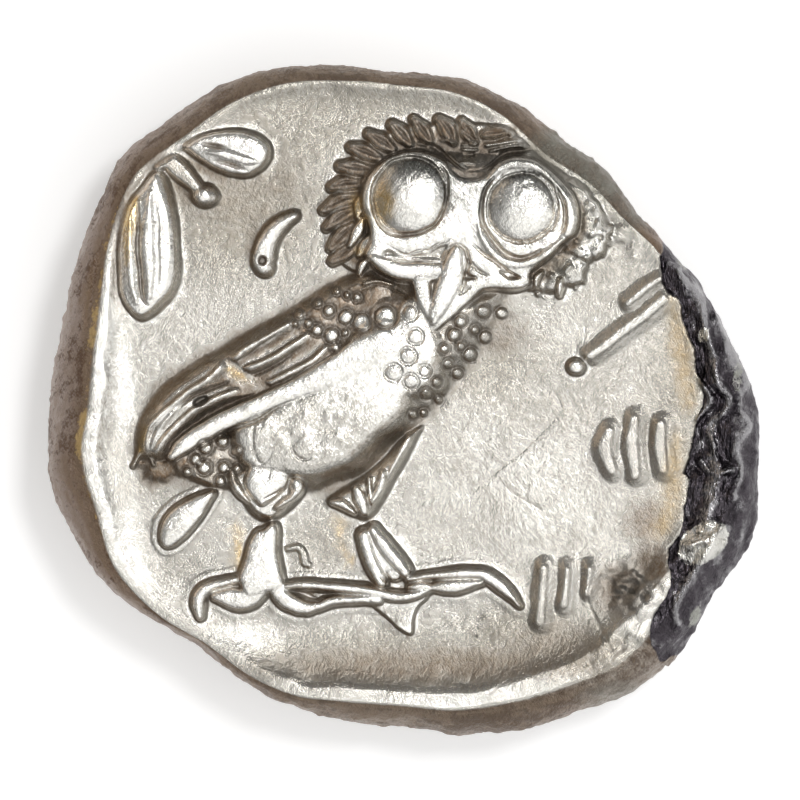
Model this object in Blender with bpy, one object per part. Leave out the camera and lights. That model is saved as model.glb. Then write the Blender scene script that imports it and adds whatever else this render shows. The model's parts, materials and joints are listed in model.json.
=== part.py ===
"""Silver tetradrachm, struck by hand: an owl with an olive sprig on the upper side and a helmeted
head in profile on the worn underside.

It is one closed solid that lies on the flat worn into its underside. All sizes are in
millimetres until the last step, which turns them into metres. The origin is below the middle of
the flan, on the surface that the coin lies on; +X runs along the flan's width and +Z is up.
"""

import bpy
import numpy as np

NAME = "coin"
MM = 0.001

# ---- Driving dimensions -----------------------------------------------------------------------

OWL_FIELD_Z = 4.45         # level of the owl side's field at its middle
HEAD_FIELD_Z = 0.95        # level of the head side's field at its middle
HEAD_FIELD_RISE = 0.95     # how much thinner the flan is at its rim, because that side bulges
EDGE_Z = 3.15              # level of the flan's widest line
RIM_HEIGHT = 0.42          # the raised rim above the owl side's field
RIM_WIDTH = 1.5            # from the rim's crest in to the field
HEAD_CREST_INSET = 1.25    # from the flan's widest line in to the head side's edge

# The flan's plan: the distance from its middle to its edge, every 10 degrees from +X.
FLAN_RADII = (12.27, 11.72, 11.22, 10.76, 10.60, 10.80, 10.80, 11.22, 11.51,
              11.58, 11.98, 12.52, 12.82, 12.80, 13.06, 12.70, 12.37, 12.27,
              12.32, 12.71, 12.47, 12.28, 11.67, 11.09, 11.23, 11.37, 11.23,
              11.30, 11.78, 12.08, 12.40, 12.99, 13.01, 12.87, 12.96, 12.69)
# How far the rim's crest lies inside that edge, and how much of the rim is struck up, every
# 15 degrees from +X. The owl's brow runs off the flan where there is no rim.
CREST_INSETS = (1.15, 0.75, 0.45, 0.45, 0.45, 0.85, 0.62, 0.73, 0.91, 0.90, 1.08, 1.49,
                1.56, 1.48, 0.85, 0.32, 0.42, 0.72, 0.89, 1.16, 1.20, 1.50, 1.30, 1.30)
RIM_SHARES = (0.9, 0.6, 0.2, 0.0, 0.0, 0.7, 1.0, 1.0, 1.0, 0.9, 0.8, 1.0,
              1.0, 1.0, 1.0, 1.0, 1.0, 1.0, 1.0, 1.0, 0.8, 0.7, 0.9, 1.0)

RELIEF_SLOPE = 0.45        # width of the steep side of a raised form
BODY_HEIGHT = 0.72
WING_HEIGHT = 0.30         # above the body
HEAD_HEIGHT = 0.95
EYE_HEIGHT = 1.32
LEG_HEIGHT = 0.70
TOE_HEIGHT = 0.60
LEAF_HEIGHT = 0.62
STROKE_HEIGHT = 0.38

FACE_COLUMNS = 190         # squares across each side of the blank, before it is thinned
EDGE_ROWS = 14
TRIANGLES = 8800

SILVER = (0.74, 0.71, 0.66)
SILVER_ROUGHNESS = 0.34

# ---- The owl's side: outlines and lines, as (x, y) --------------------------------------------

BODY = ((-2.2, 4.7), (-4.0, 3.45), (-6.0, 2.25), (-8.0, 1.0), (-9.0, -0.1), (-9.4, -1.2),
        (-9.3, -2.2), (-8.7, -2.6), (-7.6, -2.5), (-6.5, -2.9), (-5.7, -3.5), (-4.8, -4.0),
        (-3.7, -3.5), (-2.9, -3.0), (-2.2, -3.5), (-1.2, -4.0), (-0.3, -2.9), (0.5, -1.5),
        (1.3, -0.2), (2.2, 0.8), (3.0, 1.9), (3.6, 3.2), (3.0, 4.3), (0.5, 5.0))
BELLY = ((-1.0, 3.2), (-3.5, 1.2), (-6.5, -0.6), (-8.3, -1.7), (-6.4, -1.6), (-5.6, -2.6),
         (-4.6, -3.3), (-3.6, -2.7), (-2.2, -2.2), (-0.6, -0.9), (0.5, 0.2), (0.9, 1.6),
         (0.4, 2.8))
WING = ((-2.4, 4.1), (-4.2, 2.9), (-6.2, 1.7), (-8.2, 0.3), (-8.9, -1.1), (-8.4, -1.9),
        (-6.0, -0.6), (-3.2, 0.9), (-1.0, 2.5))
HEAD = ((-1.5, 4.9), (-2.3, 5.7), (-2.7, 6.6), (-2.4, 7.8), (-1.7, 8.8), (-0.6, 9.5), (0.9, 9.8),
        (2.4, 9.6), (4.4, 9.2), (5.4, 8.6), (6.3, 7.4), (6.7, 6.2), (5.8, 4.9), (5.0, 4.1),
        (3.4, 4.0), (2.3, 3.3), (1.1, 2.4), (0.4, 3.7), (-0.6, 4.3))
EYES = ((0.2, 7.2, 1.32), (4.05, 6.75, 1.36))            # x, y, radius of the ball
EYE_RING = 0.42
BEAK = ((1.85, 5.3, 0.30), (1.65, 4.4, 0.34), (1.3, 3.5, 0.28), (1.1, 2.7, 0.12))
DISC_BANDS = (((-1.4, 5.4, 0.20), (-0.5, 4.8, 0.30), (0.6, 4.6, 0.30), (1.4, 4.6, 0.16)),
              ((2.2, 3.9, 0.14), (3.0, 4.25, 0.24), (4.2, 4.35, 0.20)))
FEATHERS = (((-6.2, 1.2, 0.14), (-7.4, 0.6, 0.22), (-8.6, -0.5, 0.16)),
            ((-5.3, 0.3, 0.14), (-6.8, -0.5, 0.24), (-8.4, -1.6, 0.14)),
            ((-5.9, 1.6, 0.14), (-4.8, 2.3, 0.18), (-3.6, 2.9, 0.12)),
            ((-5.3, 1.1, 0.14), (-4.3, 1.7, 0.18), (-3.2, 2.3, 0.12)),
            ((-4.6, 0.7, 0.12), (-3.6, 1.3, 0.18), (-2.7, 2.0, 0.12)))

LEFT_LEG = ((-4.9, -3.9, 0.42), (-4.9, -5.2, 0.52), (-5.0, -6.3, 0.80))
RIGHT_LEG = ((-1.2, -3.9, 0.30), (-0.9, -4.9, 0.46), (-0.3, -6.0, 0.52))
TOES = (((-5.6, -6.1, 0.34), (-6.6, -6.4, 0.30), (-7.1, -6.9, 0.28), (-7.1, -7.4, 0.14)),
        ((-6.6, -6.8, 0.22), (-5.6, -6.8, 0.36), (-4.8, -6.4, 0.40)),
        ((-4.6, -6.4, 0.36), (-3.8, -6.8, 0.36), (-3.3, -7.0, 0.34), (-2.4, -6.9, 0.26),
         (-1.0, -6.8, 0.26)),
        ((-4.2, -6.35, 0.16), (-2.6, -6.35, 0.18), (-1.0, -6.4, 0.22), (0.4, -6.3, 0.38),
         (1.6, -6.1, 0.40), (2.8, -6.0, 0.34), (3.5, -6.4, 0.24), (4.0, -7.0, 0.08)),
        ((-0.4, -6.8, 0.50), (0.0, -7.3, 0.30), (0.1, -7.8, 0.08)))
TAIL = ((-6.5, -3.1), (-8.6, -4.9), 0.50)                # both ends and the half width

LEAVES = (((-8.0, 9.0), (-4.4, 8.5), 0.86),
          ((-8.7, 8.1), (-9.0, 3.0), 0.95))
SPRIG_STEM = ((-8.6, 8.6, 0.18), (-8.1, 8.2, 0.20), (-7.5, 7.6, 0.18))
BERRY = (-7.0, 7.2, 0.42)
CRESCENT = ((-3.8, 6.6, 0.08), (-4.4, 6.15, 0.20), (-4.8, 5.6, 0.29), (-4.95, 5.1, 0.32),
            (-4.9, 4.8, 0.26))

# Rows of plain strokes at the right, each from one end to the other with its half width.
FIELD_STROKES = (((6.4, 1.6), (9.0, 3.7), 0.20), ((7.2, 1.3), (8.9, 2.7), 0.14),
                 ((7.4, -0.9), (7.4, -2.3), 0.22), ((8.2, -0.7), (8.2, -2.5), 0.22),
                 ((9.0, -0.9), (9.0, -2.3), 0.22),
                 ((4.9, -5.7), (4.7, -7.6), 0.20), ((5.7, -5.7), (5.5, -7.2), 0.18),
                 ((6.5, -5.7), (6.3, -6.8), 0.16))
FIELD_PELLET = (5.95, 1.25, 0.32)

# ---- The head's side, as seen from below: p to the right, q up --------------------------------

WORN_RELIEF = 1.12         # height that the head would have without wear
PROFILE = ((-4.6, -9.3), (1.8, -8.9), (1.5, -6.2), (2.6, -4.5), (4.9, -4.1), (5.7, -3.0),
           (5.5, -2.0), (6.1, -1.3), (5.7, -0.7), (6.1, -0.2), (7.0, 0.2), (6.0, 2.2),
           (5.6, 4.6), (4.6, 6.6), (2.2, 8.0), (-0.8, 8.1), (-3.6, 6.8), (-5.4, 4.2),
           (-5.9, 1.0), (-6.3, -2.4), (-4.6, -5.2))
HELMET_CREST = ((5.2, 7.6, 0.7), (2.8, 9.1, 1.0), (-0.8, 9.4, 1.2), (-4.4, 8.0, 1.2),
                (-6.8, 5.0, 1.1), (-7.8, 1.2, 1.0), (-8.6, -2.4, 0.8))
CREST_HEIGHT = 0.95
VISOR = ((5.4, 4.4, 0.26), (2.4, 4.0, 0.30), (-0.8, 2.8, 0.30), (-2.6, 0.6, 0.26))
EYE_HOLLOW = (4.9, 1.5, 0.75)
EARRING = (-0.9, -2.6, 0.75)


# ---- Curves and distances ---------------------------------------------------------------------

def around(values, angle):
    """The smooth periodic curve through evenly spaced values, read at each angle."""
    values = np.array(values)
    place = (angle / (2 * np.pi) * len(values)) % len(values)
    knot = np.floor(place).astype(int)
    t = place - knot
    before, start, end, after = (values[(knot + k) % len(values)] for k in (-1, 0, 1, 2))
    return 0.5 * (2 * start + (end - before) * t
                  + (2 * before - 5 * start + 4 * end - after) * t ** 2
                  + (3 * start - before - 3 * end + after) * t ** 3)


def smooth_path(points, closed=False, steps=6):
    """A Catmull-Rom curve through the points; every column, such as a width, is smoothed."""
    points = np.array(points, float)
    if closed:
        points = np.vstack((points[-1:], points, points[:2]))
    else:
        points = np.vstack((2 * points[0] - points[1], points, 2 * points[-1] - points[-2]))
    t = np.linspace(0, 1, steps, endpoint=False)[:, None]
    rows = []
    for before, start, end, after in zip(points, points[1:], points[2:], points[3:]):
        rows.append(0.5 * (2 * start + (end - before) * t
                           + (2 * before - 5 * start + 4 * end - after) * t ** 2
                           + (3 * start - before - 3 * end + after) * t ** 3))
    rows.append(points[-2:-1])
    return np.vstack(rows)


def nearest(x, y, path):
    """Distance from each point to the path, and the path's last column at the nearest place."""
    best = np.full(x.shape, np.inf)
    value = np.zeros(x.shape)
    for start, end in zip(path, path[1:]):
        along = end[:2] - start[:2]
        t = ((x - start[0]) * along[0] + (y - start[1]) * along[1]) / max(along @ along, 1e-9)
        t = np.clip(t, 0, 1)
        distance = np.hypot(x - start[0] - t * along[0], y - start[1] - t * along[1])
        closer = distance < best
        best = np.where(closer, distance, best)
        value = np.where(closer, start[-1] + t * (end[-1] - start[-1]), value)
    return best, value


def inside(x, y, loop):
    """True for each point that lies within the closed loop."""
    within = np.zeros(x.shape, bool)
    for (start_x, start_y), (end_x, end_y) in zip(loop, loop[1:]):
        if start_y == end_y:
            continue
        spans = (start_y > y) != (end_y > y)
        crossing = start_x + (y - start_y) * (end_x - start_x) / (end_y - start_y)
        within ^= spans & (x < crossing)
    return within


def ease(t):
    """0 to 1 with a smooth start and end."""
    t = np.clip(t, 0, 1)
    return t * t * (3 - 2 * t)


# ---- Raised forms -----------------------------------------------------------------------------

def island(x, y, outline, slope=RELIEF_SLOPE):
    """1 within the outline and 0 outside, with a smooth side of the given width."""
    loop = smooth_path(outline, closed=True)
    distance, _ = nearest(x, y, loop)
    signed = np.where(inside(x, y, loop), distance, -distance)
    return ease(signed / slope + 0.5)


def ridge(x, y, line):
    """A rounded ridge of height 1 along a line whose last column is its half width."""
    distance, half_width = nearest(x, y, smooth_path(line))
    return np.clip(1 - (distance / np.maximum(half_width, 1e-6)) ** 2, 0, 1)


def dome(x, y, centre_x, centre_y, radius):
    """A round dome of height 1."""
    squared = ((x - centre_x) ** 2 + (y - centre_y) ** 2) / radius ** 2
    return np.sqrt(np.clip(1 - squared, 0, 1))


def leaf(x, y, stalk, tip, half_width):
    """A pointed leaf of height 1, from its stalk to its tip."""
    t = np.linspace(0, 1, 9)
    line = np.column_stack((stalk[0] + t * (tip[0] - stalk[0]), stalk[1] + t * (tip[1] - stalk[1]),
                            half_width * np.sin(np.pi * t) ** 0.6))
    return ridge(x, y, line) ** 0.7


# ---- The two struck sides ---------------------------------------------------------------------

def owl_relief(x, y):
    """Height of everything struck above the owl side's field."""
    height = BODY_HEIGHT * island(x, y, BODY)
    height += WING_HEIGHT * np.maximum(island(x, y, WING, 0.6), island(x, y, BELLY, 0.9))
    for feather in FEATHERS:
        height += 0.5 * WING_HEIGHT * ridge(x, y, feather)
    for stroke in (LEFT_LEG, RIGHT_LEG):
        height = np.maximum(height, LEG_HEIGHT * ridge(x, y, stroke) ** 0.6)
    for toe in TOES:
        height = np.maximum(height, TOE_HEIGHT * ridge(x, y, toe) ** 0.7)
    height = np.maximum(height, LEAF_HEIGHT * leaf(x, y, *TAIL))
    return np.maximum(height, owl_head(x, y))


def owl_head(x, y):
    """The owl's face: two domed eyes in their rings, the disc's lower bands and the beak."""
    height = HEAD_HEIGHT * island(x, y, HEAD)
    for eye_x, eye_y, radius in EYES:
        distance = np.hypot(x - eye_x, y - eye_y)
        ring = np.exp(-((distance - radius - 0.5 * EYE_RING) / (0.5 * EYE_RING)) ** 2)
        height += 0.2 * ring - 0.25 * ease((radius + 0.1 - distance) / 0.2)
        height = np.maximum(height, EYE_HEIGHT * dome(x, y, eye_x, eye_y, radius) ** 0.8)
    for band in DISC_BANDS:
        height += 0.12 * ridge(x, y, band)
    return height + 0.25 * ridge(x, y, BEAK)


def sprig_relief(x, y):
    """The olive sprig, its berry and the crescent beside it."""
    height = np.zeros(x.shape)
    for stalk, tip, half_width in LEAVES:
        height = np.maximum(height, LEAF_HEIGHT * leaf(x, y, stalk, tip, half_width))
    height = np.maximum(height, 0.6 * LEAF_HEIGHT * ridge(x, y, SPRIG_STEM))
    height = np.maximum(height, LEAF_HEIGHT * dome(x, y, *BERRY))
    return np.maximum(height, STROKE_HEIGHT * ridge(x, y, CRESCENT) ** 0.6)


def stroke_relief(x, y):
    """Rows of shallow plain strokes, with one pellet."""
    height = STROKE_HEIGHT * dome(x, y, *FIELD_PELLET)
    for start, end, half_width in FIELD_STROKES:
        line = ((*start, half_width), (*end, half_width))
        height = np.maximum(height, STROKE_HEIGHT * ridge(x, y, line) ** 0.7)
    return height


def owl_side(x, y, angle, share):
    """Level of the owl side; share is 0 at the flan's middle and 1 at the rim's crest."""
    crest_radius = around(FLAN_RADII, angle) - around(CREST_INSETS, angle)
    inward = crest_radius * (1 - share) / RIM_WIDTH
    rim = around(RIM_SHARES, angle) * RIM_HEIGHT * np.clip(1 - inward ** 2, 0, 1) ** 2
    relief = np.maximum(owl_relief(x, y), np.maximum(sprig_relief(x, y), stroke_relief(x, y)))
    relief *= ease((1 - share) * crest_radius / RELIEF_SLOPE)
    return OWL_FIELD_Z + np.maximum(rim, relief)


def head_side(x, y, share):
    """Level of the head side, which bulges downwards and is worn flat at z = 0."""
    p = -x
    q = y
    relief = WORN_RELIEF * island(p, q, PROFILE, 0.9)
    relief = np.maximum(relief, CREST_HEIGHT * ridge(p, q, HELMET_CREST) ** 0.6)
    relief -= 0.25 * ridge(p, q, VISOR)
    relief = np.maximum(relief, 1.15 * dome(p, q, *EARRING))
    relief -= 0.3 * dome(p, q, *EYE_HOLLOW)
    relief *= ease((1 - share) / 0.08)
    return np.maximum(HEAD_FIELD_Z + HEAD_FIELD_RISE * share ** 2 - relief, 0)


# ---- The blank and the strike -----------------------------------------------------------------

def add_blank():
    """A closed box of fine squares: two grids joined round their edges."""
    bpy.ops.mesh.primitive_grid_add(x_subdivisions=FACE_COLUMNS, y_subdivisions=FACE_COLUMNS,
                                    size=2, location=(0, 0, 1))
    blank = bpy.context.object
    bpy.ops.object.duplicate()
    bpy.context.object.location.z = -1
    blank.select_set(True)
    bpy.context.view_layer.objects.active = blank
    bpy.ops.object.join()
    bpy.ops.object.transform_apply(location=True)
    bpy.ops.object.mode_set(mode="EDIT")
    bpy.ops.mesh.select_all(action="DESELECT")
    bpy.ops.mesh.select_mode(type="EDGE")
    bpy.ops.mesh.select_non_manifold()
    bpy.ops.mesh.bridge_edge_loops(number_cuts=EDGE_ROWS, interpolation="LINEAR")
    bpy.ops.mesh.select_all(action="SELECT")
    bpy.ops.mesh.normals_make_consistent(inside=False)
    bpy.ops.object.mode_set(mode="OBJECT")
    blank.name = NAME
    blank.data.name = NAME
    return blank


def read_points(mesh):
    """The mesh's vertices as an array of rows."""
    points = np.empty(len(mesh.vertices) * 3, np.float32)
    mesh.vertices.foreach_get("co", points)
    return points.reshape(-1, 3).astype(float)


def write_points(mesh, points):
    mesh.vertices.foreach_set("co", points.astype(np.float32).ravel())
    mesh.update()


def square_to_disc(u, v):
    """Angle and share of the radius for a square's points, with even spacing all over."""
    flat = np.abs(u) > np.abs(v)
    share = np.where(flat, u, v)
    ratio = np.divide(np.where(flat, v, u), share, out=np.zeros_like(share), where=share != 0)
    angle = np.where(flat, ratio * np.pi / 4, np.pi / 2 - ratio * np.pi / 4)
    return np.where(share < 0, angle + np.pi, angle), np.abs(share)


def strike(blank):
    """Moves the blank's points to the flan's outline and both struck sides."""
    u, v, level = read_points(blank.data).T
    angle, share = square_to_disc(u, v)
    edge_radius = around(FLAN_RADII, angle)
    crest_radius = edge_radius - around(CREST_INSETS, angle)
    foot_radius = edge_radius - HEAD_CREST_INSET
    x = np.cos(angle)
    y = np.sin(angle)

    top_radius = crest_radius * share
    foot = foot_radius * share
    top_z = owl_side(x * top_radius, y * top_radius, angle, share)
    foot_z = head_side(x * foot, y * foot, share)

    # Round the edge the section is a quarter arc out from each side to the widest line.
    turn = np.pi * (1 - level) / 2
    upper = turn < np.pi / 2
    inner_radius = np.where(upper, crest_radius, foot_radius)
    inner_z = np.where(upper, top_z, foot_z)
    edge_r = inner_radius + (edge_radius - inner_radius) * np.sin(turn)
    edge_z = EDGE_Z + (inner_z - EDGE_Z) * np.abs(np.cos(turn))

    on_edge = np.abs(level) < 1 - 1e-6
    radius = np.where(on_edge, edge_r, np.where(level > 0, top_radius, foot))
    z = np.where(on_edge, edge_z, np.where(level > 0, top_z, foot_z))
    write_points(blank.data, np.column_stack((x * radius, y * radius, z)))


def thin(coin):
    """Keeps only the faces that the carving needs, and keeps the worn flat level."""
    decimate = coin.modifiers.new("Thin", "DECIMATE")
    decimate.use_collapse_triangulate = True
    decimate.ratio = TRIANGLES / (2 * len(coin.data.polygons))
    bpy.ops.object.modifier_apply(modifier=decimate.name)
    points = read_points(coin.data)
    points[points[:, 2] < 0.04, 2] = 0
    middle = (points.min(axis=0) + points.max(axis=0)) / 2
    points[:, :2] -= middle[:2]
    write_points(coin.data, points * MM)


def silver():
    """Worn, lightly toned silver."""
    material = bpy.data.materials.new("silver")
    material.use_nodes = True
    shader = material.node_tree.nodes["Principled BSDF"]
    shader.inputs["Base Color"].default_value = (*SILVER, 1)
    shader.inputs["Metallic"].default_value = 1
    shader.inputs["Roughness"].default_value = SILVER_ROUGHNESS
    return material


def main():
    for old in list(bpy.data.objects):
        bpy.data.objects.remove(old, do_unlink=True)
    coin = add_blank()
    strike(coin)
    thin(coin)
    coin.data.materials.append(silver())
    coin.data.shade_smooth()
    parts = bpy.data.collections.new("tetradrachm")
    bpy.context.scene.collection.children.link(parts)
    for collection in coin.users_collection:
        collection.objects.unlink(coin)
    parts.objects.link(coin)


main()
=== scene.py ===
"""Silver tetradrachm, struck by hand: the fine relief, worn and toned finish of one coin.

An owl with an olive sprig is struck on the upper side and a helmeted head on the underside. Run as
a script, or from Blender's text editor. Lengths inside the dies are millimetres; the finished
mesh is in metres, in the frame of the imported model.
"""

import json
from collections import namedtuple

import bpy
import numpy as np
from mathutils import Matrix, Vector

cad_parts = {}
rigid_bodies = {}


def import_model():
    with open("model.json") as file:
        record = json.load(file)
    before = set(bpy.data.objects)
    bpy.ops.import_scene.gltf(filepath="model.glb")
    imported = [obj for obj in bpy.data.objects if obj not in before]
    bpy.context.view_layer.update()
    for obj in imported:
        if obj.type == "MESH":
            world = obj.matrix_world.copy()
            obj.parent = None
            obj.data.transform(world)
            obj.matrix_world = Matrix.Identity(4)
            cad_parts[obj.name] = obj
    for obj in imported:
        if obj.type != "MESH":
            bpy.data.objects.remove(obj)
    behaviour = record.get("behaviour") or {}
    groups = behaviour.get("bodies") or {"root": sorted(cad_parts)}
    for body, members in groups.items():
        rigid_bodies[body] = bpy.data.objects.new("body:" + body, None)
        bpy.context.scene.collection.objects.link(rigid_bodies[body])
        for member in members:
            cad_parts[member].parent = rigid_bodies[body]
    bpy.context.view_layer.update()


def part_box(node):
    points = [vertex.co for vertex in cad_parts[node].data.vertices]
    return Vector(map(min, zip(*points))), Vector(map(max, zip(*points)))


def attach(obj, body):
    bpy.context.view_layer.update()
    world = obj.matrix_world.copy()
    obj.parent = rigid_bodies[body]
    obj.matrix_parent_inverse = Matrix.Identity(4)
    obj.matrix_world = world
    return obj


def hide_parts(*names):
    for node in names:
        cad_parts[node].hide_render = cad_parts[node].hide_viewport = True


bl_info = {
    "name": "Struck tetradrachm",
    "version": (1, 0, 0),
    "blender": (4, 5, 0),
    "location": "3D View > Sidebar > Coin",
    "description": "Strikes, wears and tones an ancient silver coin, and lights it",
    "category": "Object",
}

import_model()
NODE_LOW, NODE_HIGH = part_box("coin")

PIECE = "tetradrachm"
MM = 0.001
TINY = 1e-6              # too small to show; keeps divisions from failing
NEXT_TO_NOTHING = 1e-9   # the same where the numbers themselves are small

# ---- Driving dimensions, in millimetres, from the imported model's box ----

THICKNESS = (NODE_HIGH.z - NODE_LOW.z) / MM
OWL_FIELD_Z = 0.77 * THICKNESS      # the owl side's field at its middle
HEAD_FIELD_Z = 0.165 * THICKNESS    # the head side's field at its middle
HEAD_FIELD_RISE = 0.165 * THICKNESS  # how much higher that field lies at its rim
EDGE_Z = 0.545 * THICKNESS          # the flan's widest line
HEAD_CREST_INSET = 1.25  # how far the head side's rim lies inside the flan's plan
MEAN_RADIUS = 11.5       # turns an angle round the edge into a length
EDGE_HALF_HEIGHT = 2.4
PLAN_STEPS = 720         # points round the plan when its middle is found

# The flan's plan: the distance from its middle to its edge, every 10 degrees from +X.
FLAN_RADII = (
    12.27, 11.72, 11.22, 10.76, 10.6, 10.8, 10.8, 11.22, 11.51, 11.58, 11.98, 12.52, 12.82, 12.8,
    13.06, 12.7, 12.37, 12.27, 12.32, 12.71, 12.47, 12.28, 11.67, 11.09, 11.23, 11.37, 11.23, 11.3,
    11.78, 12.08, 12.4, 12.99, 13.01, 12.87, 12.96, 12.69)
# How far the rim's crest lies inside that edge, and how much of the rim is struck up, every
# 15 degrees from +X. The owl's brow runs off the flan where there is no rim.
CREST_INSETS = (
    1.15, 0.75, 0.5, 0.8, 0.95, 0.72, 0.62, 0.73, 0.91, 0.9, 1.08, 1.49, 1.56, 1.48, 0.85, 0.32,
    0.42, 0.72, 0.89, 1.16, 1.2, 1.5, 1.3, 1.3)
RIM_SHARES = (
    0.9, 0.6, 0.2, 0.0, 0.0, 0.35, 0.5, 0.5, 0.5, 0.5, 0.5, 0.8, 0.9, 0.8, 0.5, 0.35, 0.75, 1.0,
    1.0, 1.0, 0.9, 0.9, 0.9, 1.0)

# How wide the rim's top is inside that crest, every 15 degrees.
RIM_FLATS = (
    0.1, 0.1, 0.1, 0.1, 0.1, 0.05, 0.1, 0.06, 0.06, 0.05, 0.05, 0.18, 0.3, 0.3, 0.22, 0.22, 0.3,
    0.38, 0.42, 0.45, 0.6, 0.8, 0.6, 0.3)

RIM_HEIGHT = 0.36
RIM_FOOT = (1.2, 0.7)    # how wide its inner slope is, and how much wider at the bottom
RIM_FADE = 0.35          # over which width the owl's relief dies away at it

# Places round the edge, as angles from +X: its golden streak, and the corner that is rubbed
# to silver, with its width and how far it is rubbed.
GILT_MIDDLE = 3.0
POLISHED_CORNER = 5.4
POLISHED_WIDTH = 0.24
POLISH = 0.45

# Toning laid on where the relief alone can't tell, with how far each fades out at its outline.
# Rubbed also lays painted sheen, and tan, brown, gold and soot lay painted shade in places.
LAYERS = {"tan": 0.06, "brown": 0.06, "gold": 0.05, "soot": 0.06, "gray": 0.10,
          "rubbed": 0.10, "dirt": 0.0}
# Those of them that run on over the rim onto the edge.
SPREADING = ("tan", "brown", "gold", "soot", "gray")
EDGE_TONE = 0.8
EDGE_GRAY = 0.3          # gray skin on the top and bottom stretches of the edge

LATTICE = 64             # a ripple repeats after this many of its sizes
DIE_REACH = 13.2         # half the side of a die
DIE_CELLS = 1057         # cells along a die's side
SOFTENING = 0.022        # how far a strike rounds every line of the die
HEAD_SOFTENING = 0.045   # the same on the more worn side

HEAD_HEIGHT = 0.92       # how far the head stands out of its field
EYE_HEIGHT = THICKNESS - OWL_FIELD_Z    # the owl's eyes reach the coin's top
EYE_GROOVE = 0.25        # how deep the ring round an eyeball is
EYE_LIP = (0.08, 0.12)   # the height and width of the step at the eyeball's foot

# Ripples that leave a surface or an outline uneven, each as (height, size, seed).
BENDS_X = ((0.035, 0.9, 21), (0.012, 0.22, 23))
BENDS_Y = ((0.035, 0.9, 22), (0.012, 0.22, 24))
FLOW_RIPPLES = ((0.25, 1.1, 25),)
TORN_RIPPLES = ((0.9, 0.4, 31), (0.7, 0.17, 32))
RIM_RIPPLES = ((0.05, 2.6, 13), (0.03, 0.5, 14))
OWL_RIPPLES = ((0.02, 2.3, 1), (0.012, 0.9, 2), (0.005, 0.37, 3))
HEAD_RIPPLES = ((0.02, 2.1, 31), (0.012, 0.8, 32))
ROUGH_RIPPLES = ((1.0, 0.42, 4), (0.7, 0.19, 5))
CRUST_RIPPLES = ((0.05, 0.28, 41), (0.03, 0.11, 42))
HAMMER_RIPPLES = ((1.0, 2.1, 5), (0.6, 0.8, 6), (0.5, 0.33, 7), (0.25, 0.15, 8))

# Which way the metal flowed under the blow, and how far a form's side runs out from its outline,
# as shares of its slope: usually, and how much farther that way.
FLOW_WAY = (0.95, 0.3)
FLOW_MEAN = 1.05
FLOW_EXTRA = 0.35

# The owl side's slow bulge: its height, how far from its top it is lowest, and where the top
# lies above the middle, with its lean.
BULGE_HEIGHT = 0.10
BULGE_LENGTH = 13.5
BULGE_MIDDLE = 6.0
BULGE_LEAN = 0.35

# ---- Owl: outlines as (x, y), strokes as (x, y, half width) ----

WING = (
    (-1.0, 4.75), (-2.0, 4.45), (-3.0, 3.95), (-4.0, 3.32), (-5.0, 2.78), (-5.6, 2.45), (-6.2, 2.1),
    (-7.0, 1.62), (-7.5, 1.32), (-8.0, 0.97), (-8.5, 0.56), (-8.9, 0.05), (-9.2, -0.45),
    (-9.36, -1.0), (-9.4, -1.6), (-9.3, -2.0), (-8.8, -2.15), (-8.1, -2.0), (-7.0, -1.5),
    (-5.5, -0.8), (-3.0, 0.3), (-0.5, 2.0), (0.0, 4.0))
WING_TIP = (
    (-9.35, -1.95), (-9.3, -2.3), (-9.05, -2.35), (-9.12, -2.75), (-8.85, -2.7), (-8.82, -3.0),
    (-8.6, -2.8), (-8.2, -2.85), (-7.9, -2.6), (-7.5, -2.6), (-7.2, -1.9), (-8.4, -1.8))
BREAST = (
    (-1.4, 4.3), (0.0, 4.6), (2.0, 4.4), (3.6, 4.1), (3.62, 3.5), (3.35, 2.8), (2.98, 2.1),
    (2.6, 1.45), (2.25, 0.98), (1.85, 0.5), (1.42, 0.0), (1.0, -0.4), (0.6, -0.75), (-0.2, -1.2),
    (-1.2, -1.9), (-2.6, -1.8), (-3.2, 0.0), (-2.6, 2.4))
PLATEAU = (
    (-1.5, 2.35), (-0.8, 2.72), (-0.3, 2.78), (0.1, 3.42), (0.5, 3.35), (0.85, 2.75), (1.12, 2.15),
    (1.12, 1.6), (0.93, 1.15), (0.8, 0.68), (0.42, 0.46), (0.06, 0.28), (-0.1, -0.2), (-0.5, -0.62),
    (-1.0, -0.98), (-1.5, -1.42), (-2.0, -1.88), (-2.6, -2.18), (-3.3, -2.38), (-4.2, -2.3),
    (-5.1, -2.15), (-5.55, -1.8), (-5.7, -0.75), (-4.6, -0.1), (-3.3, 0.6), (-2.4, 1.4))
FLANK = ((-8.2, -1.85), (-7.95, -2.5), (-7.4, -2.75), (-6.7, -3.0), (-6.0, -3.0), (-5.5, -2.6),
         (-5.4, -1.2), (-6.4, -1.0), (-7.4, -1.5))
HOLLOW = (
    (0.75, -0.45), (0.3, -1.2), (-0.4, -1.9), (-1.2, -2.5), (-2.2, -3.1), (-3.2, -3.1),
    (-3.6, -2.6), (-2.6, -2.1), (-1.2, -1.0), (0.0, -0.1))
LEFT_THIGH = (
    (-5.95, -2.3), (-5.95, -2.8), (-5.65, -3.4), (-5.3, -3.95), (-4.7, -4.2), (-4.2, -4.0),
    (-3.6, -3.5), (-3.3, -2.9), (-3.4, -2.2), (-5.0, -1.9))
RIGHT_THIGH = (
    (0.75, -0.7), (0.5, -1.4), (0.1, -2.2), (-0.35, -2.95), (-0.85, -3.75), (-1.25, -4.1),
    (-1.8, -3.98), (-2.5, -3.62), (-2.75, -3.3), (-2.1, -2.85), (-1.3, -2.3), (-0.6, -1.75),
    (0.0, -1.0))

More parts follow.
